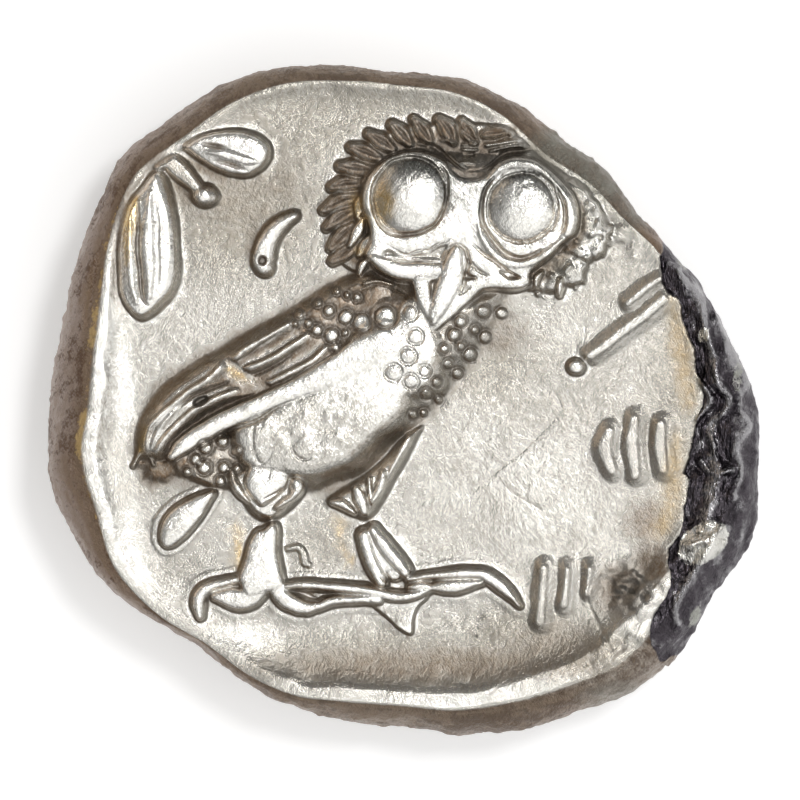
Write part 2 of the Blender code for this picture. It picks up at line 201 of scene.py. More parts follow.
# How the broad parts rise inward from their outlines, as (outline, height, reach).
BODY_FORMS = ((BREAST, 0.74, 1.25), (WING, 0.60, 0.50), (WING_TIP, 0.16, 0.30), (FLANK, 0.36, 0.30),
              (LEFT_THIGH, 0.56, 0.34), (RIGHT_THIGH, 0.48, 0.36))
HOLLOW_HEIGHT = 0.34
HOLLOW_REACH = 0.25
# Toning over them, as (layer, outlines, amount, reach).
BODY_TONES = (
    ("brown", (WING,), 0.85, 0.3), ("brown", (WING_TIP,), 0.9, 0.3), ("brown", (FLANK,), 0.5, 0.3),
    ("brown", (HOLLOW,), 0.5, 0.4), ("brown", (BREAST,), 0.28, 0.6), ("tan", (BREAST,), 0.8, 0.6),
    ("tan", (WING, FLANK), 0.8, 0.3), ("tan", (WING_TIP,), 0.95, 0.3))
BELLY_PATCH = (-3.4, -1.0, 2.6, 1.5)

SHOULDER = (
    (-0.75, 2.2, 0.42), (-1.5, 1.65, 0.58), (-2.6, 1.05, 0.47), (-4.0, 0.36, 0.34),
    (-5.5, -0.26, 0.32), (-7.0, -1.02, 0.31), (-7.7, -1.5, 0.28), (-8.05, -1.8, 0.16))
# Overlapping feathers: a bright front ridge, falling away to the lower right. The last number
# is how strongly each stands at that place.
FEATHERS = (
    ((-3.45, 2.92, 0.4), (-4.0, 2.78, 0.9), (-4.5, 2.5, 1.0), (-5.0, 2.22, 1.0), (-5.5, 1.95, 1.0),
     (-5.85, 1.62, 0.8), (-5.95, 1.5, 0.0)),
    ((-3.35, 2.38, 0.4), (-3.8, 2.08, 0.9), (-4.4, 1.72, 1.0), (-5.0, 1.42, 1.0),
     (-5.42, 1.27, 0.8), (-5.52, 1.15, 0.0)),
    ((-2.75, 1.95, 0.6), (-3.2, 1.5, 1.0), (-3.7, 1.2, 1.0), (-4.2, 0.96, 0.9), (-4.62, 0.75, 0.5),
     (-4.72, 0.66, 0.0)),
    ((-6.15, 1.45, 0.0), (-6.35, 1.32, 0.7), (-6.8, 0.88, 1.0), (-7.4, 0.5, 1.0), (-8.0, 0.02, 1.0),
     (-8.6, -0.5, 1.0), (-8.92, -0.85, 0.6), (-9.05, -1.4, 0.5)),
    ((-6.9, 0.28, 0.0), (-7.3, 0.08, 0.5), (-7.8, -0.2, 0.6), (-8.3, -0.62, 0.7),
     (-8.62, -1.1, 0.6), (-8.75, -1.6, 0.3)),
    ((-5.6, 0.52, 0.0), (-6.0, 0.4, 0.7), (-6.5, 0.18, 1.0), (-7.0, -0.06, 1.0), (-7.5, -0.38, 1.0),
     (-8.0, -0.82, 1.0), (-8.4, -1.3, 0.8), (-8.62, -1.78, 0.4)))
COVERT_GAPS = (
    ((-4.1, 2.58, 0.02), (-4.9, 2.08, 0.08), (-5.6, 1.58, 0.07), (-5.95, 1.42, 0.03)),
    ((-3.5, 2.0, 0.03), (-4.2, 1.52, 0.1), (-4.9, 1.12, 0.12), (-5.4, 0.98, 0.05)),
    ((-2.7, 1.62, 0.03), (-3.4, 1.12, 0.07), (-4.2, 0.72, 0.07), (-4.6, 0.56, 0.03)),
    ((-6.1, 0.72, 0.08), (-6.9, 0.42, 0.1), (-7.6, 0.0, 0.07), (-8.4, -0.85, 0.04)),
    ((-5.2, 0.32, 0.05), (-6.0, 0.02, 0.14), (-6.9, -0.48, 0.16), (-7.7, -1.0, 0.1),
     (-8.2, -1.45, 0.04)))
DIVIDER = ((-5.95, 1.15, 0.3), (-5.5, 0.85, 0.26), (-5.05, 0.6, 0.16))
WING_FOOT_GROOVE = (
    (-2.0, 0.68, 0.01), (-3.2, 0.3, 0.02), (-4.2, -0.08, 0.03), (-4.9, -0.5, 0.06),
    (-5.6, -0.78, 0.07), (-6.3, -1.05, 0.04), (-7.1, -1.48, 0.04), (-8.0, -2.02, 0.05))
WING_TIP_LINES = (
    ((-8.98, -0.95, 0.05), (-9.08, -1.4, 0.06), (-9.2, -1.8, 0.05), (-9.42, -2.2, 0.02)),
    ((-8.8, -1.2, 0.04), (-8.85, -1.7, 0.05), (-8.7, -2.15, 0.03)))

# Round feathers, as (x, y, radius).
FLAT_PELLETS = (
    (0.22, 3.14, 0.25), (0.4, 2.32, 0.26), (0.16, 1.62, 0.27), (0.72, 1.12, 0.2),
    (-0.35, 1.05, 0.28), (0.25, 0.75, 0.24))
BREAST_PELLETS = (
    (0.74, 0.34, 0.17), (1.14, 0.74, 0.17), (1.2, 0.12, 0.15), (1.42, 1.92, 0.16),
    (1.75, 2.36, 0.22), (1.98, 2.82, 0.22), (2.78, 3.18, 0.24), (3.4, 3.12, 0.22),
    (2.5, 2.52, 0.16), (2.85, 2.28, 0.22), (2.0, 1.98, 0.15), (2.32, 1.7, 0.24), (1.55, 1.38, 0.18),
    (1.88, 1.02, 0.2), (0.35, -0.38, 0.16), (0.68, -0.32, 0.14))
NECK_PELLETS = (
    (-0.65, 3.02, 0.36), (-1.45, 2.82, 0.3), (-2.0, 3.0, 0.26), (-2.48, 2.36, 0.27),
    (-2.6, 3.2, 0.19), (-3.0, 2.55, 0.2), (-3.28, 2.78, 0.16), (-2.98, 3.48, 0.15),
    (-2.35, 3.9, 0.15), (-1.98, 3.75, 0.12), (-1.62, 3.68, 0.15), (-3.62, 3.12, 0.17),
    (-2.35, 1.98, 0.16), (-2.0, 2.45, 0.14), (-3.75, 2.75, 0.12))
FLANK_PELLETS = (
    (-6.85, -1.52, 0.23), (-6.28, -1.3, 0.23), (-5.8, -1.65, 0.17), (-7.2, -1.95, 0.2),
    (-7.5, -2.4, 0.17), (-6.92, -2.22, 0.24), (-6.22, -2.2, 0.21), (-6.32, -2.68, 0.19),
    (-5.75, -2.25, 0.15))
SCALE_ARCS = (
    ((-5.12, -0.55, 0.01), (-5.22, -1.0, 0.04), (-5.18, -1.6, 0.05), (-4.98, -2.05, 0.05),
     (-4.7, -1.98, 0.03), (-4.52, -1.55, 0.01)),
    ((-5.0, -0.55, 0.02), (-4.88, -0.8, 0.03), (-5.02, -1.0, 0.01)),
    ((-3.8, -1.15, 0.01), (-3.9, -1.5, 0.04), (-3.72, -1.82, 0.05), (-3.4, -1.95, 0.05),
     (-3.15, -1.8, 0.02)),
    ((-1.1, 0.25, 0.01), (-0.8, 0.12, 0.02), (-0.5, 0.28, 0.01)),
    ((-3.6, -0.85, 0.01), (-3.0, -0.92, 0.015), (-2.3, -1.08, 0.01)),
    ((-2.35, 0.4, 0.01), (-2.25, 0.1, 0.02), (-2.1, 0.02, 0.01)))

THIGH_LOBES = (
    ((-5.25, -2.2), (-5.48, -2.6), (-5.42, -3.0), (-5.15, -3.35), (-4.95, -3.55), (-4.7, -3.4),
     (-4.35, -3.1), (-4.1, -2.85), (-4.05, -2.5), (-4.3, -2.25), (-4.7, -2.15)),
    ((-3.95, -2.75), (-3.85, -2.62), (-3.6, -2.65), (-3.52, -2.9), (-3.62, -3.15), (-3.9, -3.4),
     (-4.3, -3.62), (-4.5, -3.65), (-4.2, -3.35), (-3.95, -3.15)))
THIGH_LINES = (
    ((-4.62, -2.15, 0.02), (-4.7, -2.5, 0.03), (-4.82, -2.8, 0.015)),
    ((-4.0, -2.72, 0.03), (-3.88, -2.9, 0.05), (-3.82, -3.1, 0.03)),
    ((-4.95, -3.4, 0.02), (-4.6, -3.2, 0.05), (-4.2, -2.95, 0.04)))
THIGH_CRESCENT = (
    (-5.95, -2.35, 0.06), (-5.85, -2.75, 0.12), (-5.65, -3.1, 0.11), (-5.4, -3.4, 0.04))
SHIN_FEATHERS = (
    ((-2.5, -3.42, 0.07), (-2.15, -3.5, 0.15), (-1.72, -3.8, 0.06)),
    ((-1.66, -2.98, 0.14), (-1.52, -3.3, 0.22), (-1.38, -3.72, 0.14)),
    ((-0.72, -2.42, 0.1), (-0.8, -2.8, 0.15), (-1.08, -3.4, 0.07)),
    ((-1.22, -2.6, 0.06), (-1.18, -3.0, 0.08), (-1.14, -3.4, 0.04)))
SHIN_ARCS = (
    ((-1.98, -3.0, 0.02), (-1.85, -2.85, 0.03), (-1.5, -2.82, 0.03), (-1.3, -3.05, 0.03)),
    ((-2.6, -3.3, 0.02), (-2.2, -3.28, 0.03), (-1.85, -3.5, 0.03)))
THIGH_RIDGE = ((-0.5, -2.45, 0.02), (-0.2, -1.85, 0.05), (0.05, -1.45, 0.06), (0.2, -1.2, 0.02))

LEFT_LEG = (
    (-5.15, -4.55), (-5.35, -4.95), (-5.48, -5.5), (-5.68, -6.05), (-5.4, -6.6), (-4.8, -6.5),
    (-4.3, -6.35), (-4.28, -6.0), (-4.38, -5.5), (-4.45, -5.0), (-4.45, -4.4), (-4.6, -4.22),
    (-4.85, -4.4))
SHANKS = (
    ((-1.38, -4.6, 0.16), (-1.22, -5.2, 0.17), (-1.0, -5.75, 0.18), (-0.8, -6.2, 0.14)),
    ((-1.08, -4.38, 0.1), (-0.72, -4.9, 0.17), (-0.35, -5.4, 0.17), (0.0, -5.85, 0.14)))
SHANK_WEB = ((-1.05, -4.8, 0.08), (-0.72, -5.4, 0.14), (-0.35, -5.95, 0.14))
FOOT_JOINT = ((-0.85, -6.02, 0.05), (-0.45, -6.22, 0.14), (0.0, -6.2, 0.06))
TOES = (
    ((-5.85, -6.12, 0.1), (-6.3, -6.22, 0.12), (-6.75, -6.35, 0.15), (-7.08, -6.65, 0.18),
     (-7.15, -7.05, 0.17), (-7.1, -7.4, 0.09)),
    ((-6.55, -6.68, 0.12), (-6.15, -6.72, 0.27), (-5.7, -6.78, 0.32), (-5.3, -6.65, 0.33),
     (-4.95, -6.45, 0.24)),
    ((-4.45, -6.42, 0.22), (-4.15, -6.8, 0.24), (-3.75, -7.0, 0.22), (-3.35, -7.1, 0.18),
     (-2.9, -7.02, 0.13), (-2.5, -6.88, 0.13), (-2.0, -6.82, 0.13), (-1.4, -6.8, 0.12),
     (-0.9, -6.85, 0.12)),
    ((-4.15, -6.35, 0.08), (-3.6, -6.32, 0.11), (-3.0, -6.32, 0.12), (-2.2, -6.38, 0.13),
     (-1.5, -6.46, 0.14), (-0.9, -6.62, 0.15), (-0.3, -6.72, 0.15), (0.3, -6.68, 0.13),
     (0.85, -6.5, 0.08)),
    ((0.1, -6.1, 0.05), (0.7, -6.02, 0.09), (1.4, -5.95, 0.12), (2.1, -5.9, 0.14),
     (2.7, -5.93, 0.17), (3.1, -6.15, 0.19), (3.5, -6.45, 0.15), (3.8, -6.75, 0.09),
     (4.0, -7.0, 0.02)),
    ((0.95, -6.42, 0.08), (1.3, -6.38, 0.18), (1.8, -6.34, 0.2), (2.3, -6.28, 0.14),
     (2.7, -6.25, 0.04)),
    ((0.15, -6.38, 0.04), (0.5, -6.35, 0.12), (0.85, -6.38, 0.1)))
TOE_GROOVES = (
    ((-3.75, -6.55, 0.04), (-3.35, -6.66, 0.09), (-2.95, -6.84, 0.07), (-2.85, -6.88, 0.02)),
    ((-3.85, -6.46, 0.02), (-3.0, -6.5, 0.025), (-2.0, -6.58, 0.02), (-1.5, -6.66, 0.02),
     (-1.15, -6.9, 0.03)),
    ((-6.6, -6.45, 0.02), (-6.2, -6.38, 0.03), (-5.85, -6.3, 0.02), (-5.75, -6.1, 0.01)))
STUMP = ((-1.05, -6.8), (-1.05, -7.05), (-0.5, -7.48), (-0.1, -7.82), (0.25, -7.95), (0.3, -7.5),
         (0.48, -7.02), (0.85, -6.7), (0.3, -6.5))
LUMP_ARC = (
    (-4.05, -5.05, 0.03), (-3.7, -5.0, 0.06), (-3.5, -5.2, 0.08), (-3.45, -5.5, 0.1),
    (-3.3, -5.6, 0.05))
TAIL = ((-6.6, -3.1), (-7.1, -3.2), (-7.6, -3.45), (-8.1, -3.82), (-8.38, -4.2), (-8.45, -4.65),
        (-8.3, -4.93), (-8.0, -4.88), (-7.5, -4.5), (-7.1, -4.0), (-6.8, -3.5))
TAIL_VEIN = ((-6.95, -3.35, 0.02), (-7.2, -3.7, 0.035), (-7.6, -4.3, 0.02))

FACE = (
    (-1.45, 7.0), (-1.38, 7.5), (-1.15, 7.95), (-0.8, 8.3), (-0.3, 8.6), (0.3, 8.72), (0.9, 8.6),
    (1.35, 8.35), (1.65, 7.95), (2.0, 7.75), (2.5, 7.72), (2.9, 7.95), (3.3, 8.32), (3.85, 8.5),
    (4.4, 8.42), (4.95, 8.15), (5.4, 7.72), (5.75, 7.3), (5.98, 6.8), (6.0, 6.3), (5.9, 5.9),
    (5.55, 5.6), (5.1, 5.15), (4.65, 4.8), (4.35, 4.5), (4.32, 4.12), (3.9, 3.98), (3.0, 4.02),
    (2.6, 3.9), (2.0, 3.25), (1.45, 2.78), (1.0, 2.5), (0.75, 2.9), (0.5, 3.4), (0.38, 3.9),
    (0.28, 4.25), (-0.1, 4.3), (-0.6, 4.45), (-1.0, 4.75), (-1.3, 5.15), (-1.12, 5.6), (-1.2, 6.2),
    (-1.38, 6.6))
CROWN = ((-0.9, 8.55), (-0.2, 8.95), (0.6, 9.1), (1.6, 9.15), (2.6, 9.05), (3.6, 9.05), (4.6, 9.3),
         (4.86, 9.25), (4.88, 8.8), (5.4, 8.1), (5.9, 7.4), (5.0, 6.8), (2.3, 6.6), (0.0, 7.6))
BROW = (
    (-2.1, 4.9), (-2.35, 5.8), (-2.4, 6.6), (-2.25, 7.4), (-2.0, 8.1), (-1.5, 8.75), (-0.8, 9.2),
    (0.0, 9.5), (0.9, 9.6), (1.8, 9.62), (2.6, 9.6), (3.4, 9.6), (3.9, 9.6), (4.0, 9.2), (4.8, 8.9),
    (5.6, 7.9), (6.2, 7.3), (6.5, 6.4), (6.4, 5.7), (5.9, 5.0), (5.4, 4.4), (4.6, 4.1), (3.0, 5.0),
    (0.0, 5.2), (-1.3, 4.6))
# Each eye's ball: middle, half axes, turn, how far it rises and how it leans to its lower right.
EYES = ((0.2, 7.2, 1.29, 1.38, -0.25, 0.46, 0.05), (4.08, 6.78, 1.2, 1.22, 0.0, 0.42, -0.04))
# Toning on the eyeballs and round them, partly real and partly painted reflection and shade: dark
# tops of the domes and of the bridge between them, gold on the left eye's left side, brown shade
# under the right eye. As (x, y, half width, half height, amount).
EYE_TONES_AND_SHADE = {"tan": ((-0.70, 7.2, 0.65, 1.4, 0.6), (0.3, 8.3, 1.3, 0.5, 0.8)),
             "gold": ((-0.68, 6.95, 0.45, 0.9, 1.0), (-1.62, 6.85, 0.30, 0.60, 1.0),
                      (-1.35, 6.35, 0.28, 0.30, 0.9), (-1.5, 5.3, 0.25, 0.25, 0.9)),
             "brown": ((-0.75, 7.75, 0.55, 0.75, 0.9), (4.1, 5.55, 0.9, 0.28, 0.5)),
             "soot": ((0.5, 8.1, 1.25, 0.75, 1.4), (4.3, 7.75, 1.15, 0.60, 1.2),
                      (1.95, 7.85, 0.75, 0.55, 1.1))}
EYE_GROOVES = (
    ((-1.0, 7.85, 0.03), (-1.09, 7.4, 0.04), (-1.08, 6.9, 0.05), (-0.95, 6.4, 0.06),
     (-0.65, 6.02, 0.08), (-0.25, 5.86, 0.08), (0.2, 5.88, 0.07), (0.65, 6.0, 0.05),
     (1.05, 6.2, 0.05), (1.33, 6.6, 0.06), (1.48, 7.1, 0.06), (1.5, 7.6, 0.06), (1.4, 8.05, 0.05),
     (1.1, 8.38, 0.03)),
    ((3.15, 7.85, 0.03), (2.84, 7.45, 0.06), (2.7, 7.0, 0.06), (2.7, 6.5, 0.07), (2.88, 5.98, 0.07),
     (3.15, 5.6, 0.08), (3.5, 5.22, 0.09), (3.95, 5.03, 0.1), (4.35, 5.1, 0.07),
     (4.75, 5.32, 0.04)),
    ((5.1, 6.0, 0.04), (5.3, 6.5, 0.04), (5.33, 7.0, 0.05), (5.15, 7.5, 0.05), (4.75, 7.9, 0.04)),
    ((5.35, 5.75, 0.02), (5.55, 6.3, 0.05), (5.56, 6.9, 0.06), (5.4, 7.3, 0.05), (5.25, 7.6, 0.02)))
EYE_LIDS = (
    ((-1.12, 6.5, 0.05), (-1.25, 6.95, 0.15), (-1.2, 7.4, 0.14), (-1.03, 7.85, 0.1),
     (-0.62, 8.3, 0.1), (-0.1, 8.55, 0.1), (0.4, 8.6, 0.07), (0.95, 8.48, 0.05),
     (1.35, 8.15, 0.04)),
    ((2.95, 7.75, 0.08), (3.4, 8.15, 0.14), (3.95, 8.3, 0.17), (4.55, 8.18, 0.15),
     (5.05, 7.85, 0.12), (5.4, 7.45, 0.1), (5.68, 6.95, 0.16), (5.8, 6.35, 0.17),
     (5.65, 5.85, 0.14)),
    ((2.62, 6.2, 0.05), (2.72, 5.75, 0.1), (3.05, 5.25, 0.14), (3.45, 4.92, 0.15),
     (3.95, 4.82, 0.16), (4.5, 4.92, 0.15), (5.05, 5.25, 0.14), (5.5, 5.62, 0.1)))
TUFTS = (
    ((-1.65, 5.45, 0.16), (-2.05, 5.22, 0.27), (-2.48, 4.92, 0.12)),
    ((-1.8, 6.1, 0.16), (-2.15, 5.8, 0.28), (-2.5, 5.38, 0.12)),
    ((-1.72, 6.68, 0.14), (-2.25, 6.45, 0.25), (-2.72, 6.1, 0.1)),
    ((-1.65, 7.12, 0.14), (-2.2, 7.0, 0.25), (-2.82, 6.7, 0.1)),
    ((-1.55, 7.62, 0.16), (-2.02, 7.62, 0.27), (-2.5, 7.48, 0.12)),
    ((-1.25, 8.08, 0.16), (-1.72, 8.18, 0.27), (-2.24, 8.22, 0.12)),
    ((-0.88, 8.48, 0.16), (-1.32, 8.7, 0.27), (-1.84, 8.86, 0.12)),
    ((-0.42, 8.82, 0.16), (-0.8, 9.08, 0.27), (-1.22, 9.34, 0.12)),
    ((0.18, 9.02, 0.16), (-0.1, 9.35, 0.27), (-0.42, 9.66, 0.12)),
    ((0.9, 9.1, 0.16), (0.66, 9.46, 0.27), (0.36, 9.82, 0.12)),
    ((1.72, 9.1, 0.16), (1.52, 9.48, 0.27), (1.22, 9.84, 0.12)),
    ((2.42, 9.08, 0.16), (2.22, 9.42, 0.26), (1.98, 9.74, 0.12)),
    ((2.75, 9.3, 0.14), (3.25, 9.4, 0.2), (3.9, 9.45, 0.08)))
# Narrow feathers rubbed bright between the tufts, and the broken ring at the right.
SLIVERS = (
    ((-1.4, 7.25, 0.08), (-1.54, 6.85, 0.2), (-1.62, 6.45, 0.08)),
    ((-1.44, 6.36, 0.08), (-1.6, 5.95, 0.19), (-1.82, 5.48, 0.08)),
    ((-1.12, 5.8, 0.08), (-1.3, 5.5, 0.19), (-1.52, 5.15, 0.08)),
    ((-1.22, 7.95, 0.06), (-1.34, 7.7, 0.12), (-1.42, 7.4, 0.06)),
    ((-1.2, 4.98, 0.06), (-1.42, 4.76, 0.13), (-1.55, 4.45, 0.05)),
    ((4.78, 4.5, 0.05), (4.62, 4.32, 0.1), (4.6, 4.05, 0.05)),
    ((5.45, 4.25, 0.06), (5.42, 4.02, 0.1), (5.4, 3.78, 0.03)))
# Torn places at the right of the head, each with its height.
BROKEN = ((((5.7, 7.7), (6.2, 7.4), (6.5, 6.9), (6.7, 6.35), (6.82, 5.8), (6.6, 5.3), (6.2, 5.1),
            (5.8, 5.3), (5.6, 5.6), (5.9, 6.4)), 0.40),
          (((4.30, 4.75), (4.8, 4.9), (5.3, 5.15), (5.9, 5.02), (6.12, 4.6), (5.9, 4.25),
            (5.4, 4.15), (5.0, 4.02), (4.45, 4.05), (4.22, 4.4)), 0.30))
CROWN_GROOVES = (
    ((0.5, 9.02, 0.05), (1.0, 8.95, 0.1), (1.4, 8.65, 0.11), (1.75, 8.3, 0.07), (2.05, 8.02, 0.03)),
    ((2.15, 8.05, 0.03), (2.65, 8.1, 0.05), (3.15, 8.4, 0.08), (3.6, 8.72, 0.1), (4.2, 8.78, 0.09),
     (4.75, 8.84, 0.05)),
    ((2.05, 8.58, 0.06), (2.4, 8.62, 0.07)),
    ((3.25, 9.2, 0.08), (3.6, 9.3, 0.08)),
    ((2.0, 9.5, 0.05), (2.35, 9.2, 0.08), (2.6, 9.08, 0.05)))
CROWN_RIDGES = (
    ((2.0, 8.32, 0.06), (2.42, 8.32, 0.06)), ((2.05, 8.80, 0.06), (2.5, 8.78, 0.06)),
    ((2.05, 8.98, 0.05), (2.5, 8.95, 0.06)), ((1.35, 9.12, 0.05), (1.7, 9.05, 0.06)),
    ((2.85, 8.92, 0.07), (3.5, 9.05, 0.08), (4.2, 9.16, 0.07), (4.8, 9.24, 0.05)),
    ((3.0, 8.72, 0.05), (3.6, 8.9, 0.06), (4.2, 8.97, 0.06), (4.8, 9.02, 0.04)),
    ((1.55, 8.62, 0.05), (1.85, 8.3, 0.07), (2.15, 8.12, 0.04)))
CHEEK_GROOVES = (
    ((-0.6, 5.5, 0.02), (-0.35, 5.35, 0.03), (-0.1, 5.22, 0.04), (0.12, 5.18, 0.04),
     (0.5, 5.27, 0.04), (0.85, 5.28, 0.04), (1.05, 5.42, 0.04), (1.4, 5.6, 0.03),
     (1.7, 5.76, 0.02)),
    ((-0.8, 5.08, 0.03), (-0.3, 5.0, 0.05), (0.1, 4.94, 0.07), (0.5, 4.94, 0.06), (0.9, 4.88, 0.05),
     (1.35, 4.86, 0.04)),
    ((1.38, 4.88, 0.02), (1.5, 5.2, 0.03), (1.65, 5.4, 0.04), (1.92, 5.48, 0.04),
     (2.12, 5.35, 0.05), (2.22, 5.05, 0.07), (2.25, 4.85, 0.07), (2.15, 4.5, 0.06),
     (2.08, 4.1, 0.05), (1.96, 3.78, 0.04)),
    ((2.25, 4.95, 0.05), (2.5, 4.7, 0.05), (2.8, 4.52, 0.04), (3.0, 4.48, 0.02)),
    ((2.35, 5.58, 0.02), (2.6, 5.3, 0.04), (2.85, 5.1, 0.05), (3.2, 4.9, 0.05), (3.55, 4.62, 0.05),
     (3.9, 4.4, 0.03)),
    ((2.05, 3.82, 0.03), (2.2, 3.98, 0.04), (2.36, 4.1, 0.02)))
CHEEK_HOLLOW = (
    (-0.78, 5.1), (-0.52, 5.38), (-0.1, 5.2), (0.5, 5.25), (0.9, 5.3), (1.25, 5.5), (1.52, 5.5),
    (1.58, 5.3), (1.42, 5.05), (1.35, 4.86), (0.9, 4.9), (0.3, 4.95), (-0.3, 5.02))
BEAK_GAPS = (
    ((0.93, 4.2), (1.06, 4.27), (1.2, 4.33), (1.13, 4.1), (1.06, 3.8), (1.02, 3.3), (0.96, 3.75)),
    ((2.15, 4.6), (2.32, 4.5), (2.58, 4.38), (2.4, 4.32), (2.13, 4.3)),
    ((3.32, 4.62), (3.7, 4.56), (4.1, 4.36), (3.75, 4.29), (3.5, 4.4)))
ROLL = (
    (-1.05, 5.0, 0.14), (-0.6, 4.78, 0.24), (0.0, 4.6, 0.3), (0.6, 4.58, 0.3), (1.15, 4.62, 0.2))
BEAK = (
    (1.85, 5.3, 0.18), (1.72, 4.8, 0.34), (1.62, 4.3, 0.4), (1.42, 3.8, 0.38), (1.22, 3.3, 0.3),
    (1.05, 2.8, 0.12))
BEAK_SIDE = ((0.6, 4.15, 0.28), (0.68, 3.8, 0.27), (0.78, 3.4, 0.2), (0.92, 3.0, 0.1))
LUMPS = (
    (6.75, 6.2, 0.22), (6.9, 5.5, 0.2), (6.35, 5.0, 0.18), (6.7, 6.8, 0.16), (5.75, 4.58, 0.26),
    (5.12, 4.42, 0.18), (5.98, 5.6, 0.15), (6.25, 6.3, 0.14), (6.5, 5.8, 0.12), (6.1, 6.9, 0.12))
COLLAR_RIDGE = ((-1.4, 4.12, 0.03), (-0.9, 4.2, 0.05), (-0.4, 4.12, 0.04))
COLLAR = ((-1.45, 3.95, 0.05), (-0.9, 4.12, 0.06), (-0.3, 4.0, 0.06), (0.1, 3.8, 0.04))

# ---- Sprig, crescent and field marks ----

# Each leaf with the width of its sloping side.
LEAVES = (
    (((-7.6, 8.98), (-7.2, 9.14), (-6.8, 9.25), (-6.2, 9.35), (-5.6, 9.33), (-5.1, 9.16),
      (-4.8, 8.85), (-4.82, 8.5), (-5.05, 8.22), (-5.4, 8.02), (-5.8, 7.97), (-6.3, 8.08),
      (-6.75, 8.32), (-7.1, 8.56), (-7.4, 8.8)), 0.21),
    (((-8.58, 7.9), (-8.95, 7.45), (-9.3, 7.05), (-9.6, 6.65), (-9.74, 6.0), (-9.76, 5.2),
      (-9.76, 4.5), (-9.7, 3.8), (-9.45, 3.32), (-9.15, 3.1), (-8.85, 3.2), (-8.55, 3.48),
      (-8.25, 3.85), (-8.08, 4.5), (-8.04, 5.2), (-8.1, 6.1), (-8.22, 6.8), (-8.42, 7.5)), 0.30))
LEAF_VEINS = (
    ((-7.15, 9.06, 0.01), (-6.85, 8.98, 0.06), (-6.45, 8.9, 0.08), (-6.1, 8.85, 0.03),
     (-5.6, 8.82, 0.015), (-5.1, 8.62, 0.015)),
    ((-6.1, 8.95, 0.01), (-5.5, 8.93, 0.015), (-5.05, 8.66, 0.01)),
    ((-6.72, 8.4, 0.02), (-6.3, 8.34, 0.05), (-5.9, 8.24, 0.06), (-5.4, 8.1, 0.03)),
    ((-9.22, 7.0, 0.03), (-9.2, 6.0, 0.08), (-9.18, 5.0, 0.08), (-9.12, 4.2, 0.08),
     (-9.0, 3.65, 0.06), (-8.8, 3.4, 0.03)),
    ((-8.64, 7.25, 0.02), (-8.55, 6.4, 0.03), (-8.5, 5.4, 0.03), (-8.5, 4.4, 0.03),
     (-8.6, 3.75, 0.01)),
    ((-8.38, 6.6, 0.005), (-8.32, 5.4, 0.015), (-8.3, 4.4, 0.005)))
LEAF_RIDGES = (
    ((-9.48, 6.6, 0.04), (-9.5, 5.6, 0.16), (-9.48, 4.4, 0.17), (-9.25, 3.5, 0.1)),
    ((-8.75, 7.4, 0.04), (-8.86, 6.4, 0.18), (-8.84, 5.0, 0.22), (-8.8, 3.7, 0.1)),
    ((-6.9, 8.72, 0.04), (-6.2, 8.62, 0.16), (-5.5, 8.45, 0.16), (-5.1, 8.4, 0.06)))
STEMS = (
    ((-8.25, 8.72, 0.04), (-8.0, 8.93, 0.06), (-7.6, 8.97, 0.07), (-7.2, 8.9, 0.08)),
    ((-8.52, 8.25, 0.1), (-8.2, 8.42, 0.22), (-7.85, 8.15, 0.24), (-7.5, 7.8, 0.2),
     (-7.2, 7.5, 0.15)))
BERRY = (-6.95, 7.2, 0.3, 0.26)
CRESCENT = (
    (-3.8, 6.52, 0.05), (-4.15, 6.3, 0.13), (-4.5, 6.0, 0.17), (-4.78, 5.6, 0.23),
    (-4.9, 5.2, 0.27), (-4.9, 4.9, 0.26), (-4.86, 4.75, 0.2))
CRESCENT_PIT = (-4.9, 4.98, 0.15, 0.17)
WING_PIT = (-7.03, 0.06, 0.3, 0.17)

FIELD_STROKES = (
    ((6.5, 1.68, 0.17), (7.8, 2.66, 0.19), (9.0, 3.6, 0.2)),
    ((7.75, 3.5, 0.13), (8.3, 3.95, 0.15), (8.85, 4.3, 0.14)),
    ((7.1, -0.95, 0.2), (6.95, -1.6, 0.26), (7.2, -2.3, 0.2)),
    ((8.0, -0.55, 0.2), (7.9, -1.5, 0.26), (8.05, -2.5, 0.2)),
    ((8.95, -0.75, 0.2), (8.9, -1.5, 0.24), (9.0, -2.3, 0.2)),
    ((4.88, -5.72, 0.17), (4.8, -6.6, 0.17), (4.72, -7.55, 0.2)),
    ((5.66, -5.75, 0.15), (5.6, -6.4, 0.15), (5.55, -7.0, 0.17)),
    ((6.44, -5.75, 0.14), (6.4, -6.2, 0.13), (6.36, -6.6, 0.14)))
FIELD_PELLET = (5.97, 1.27, 0.25, 0.23)
SCRATCHES = (
    ((2.2, -3.2, 0.03), (3.8, -1.95, 0.045), (5.4, -0.4, 0.03)),
    ((5.45, -0.35, 0.02), (5.38, 0.1, 0.03), (5.2, 0.45, 0.02)),
    ((3.1, -2.6, 0.02), (4.2, -3.35, 0.04), (5.2, -4.0, 0.02)),
    ((2.35, -9.45, 0.03), (2.28, -9.75, 0.04)),
    ((6.5, -6.1, 0.03), (6.4, -6.9, 0.05), (6.9, -7.9, 0.09), (7.2, -8.6, 0.06)))

# ---- Head side, as seen from below: x to the right, y up ----

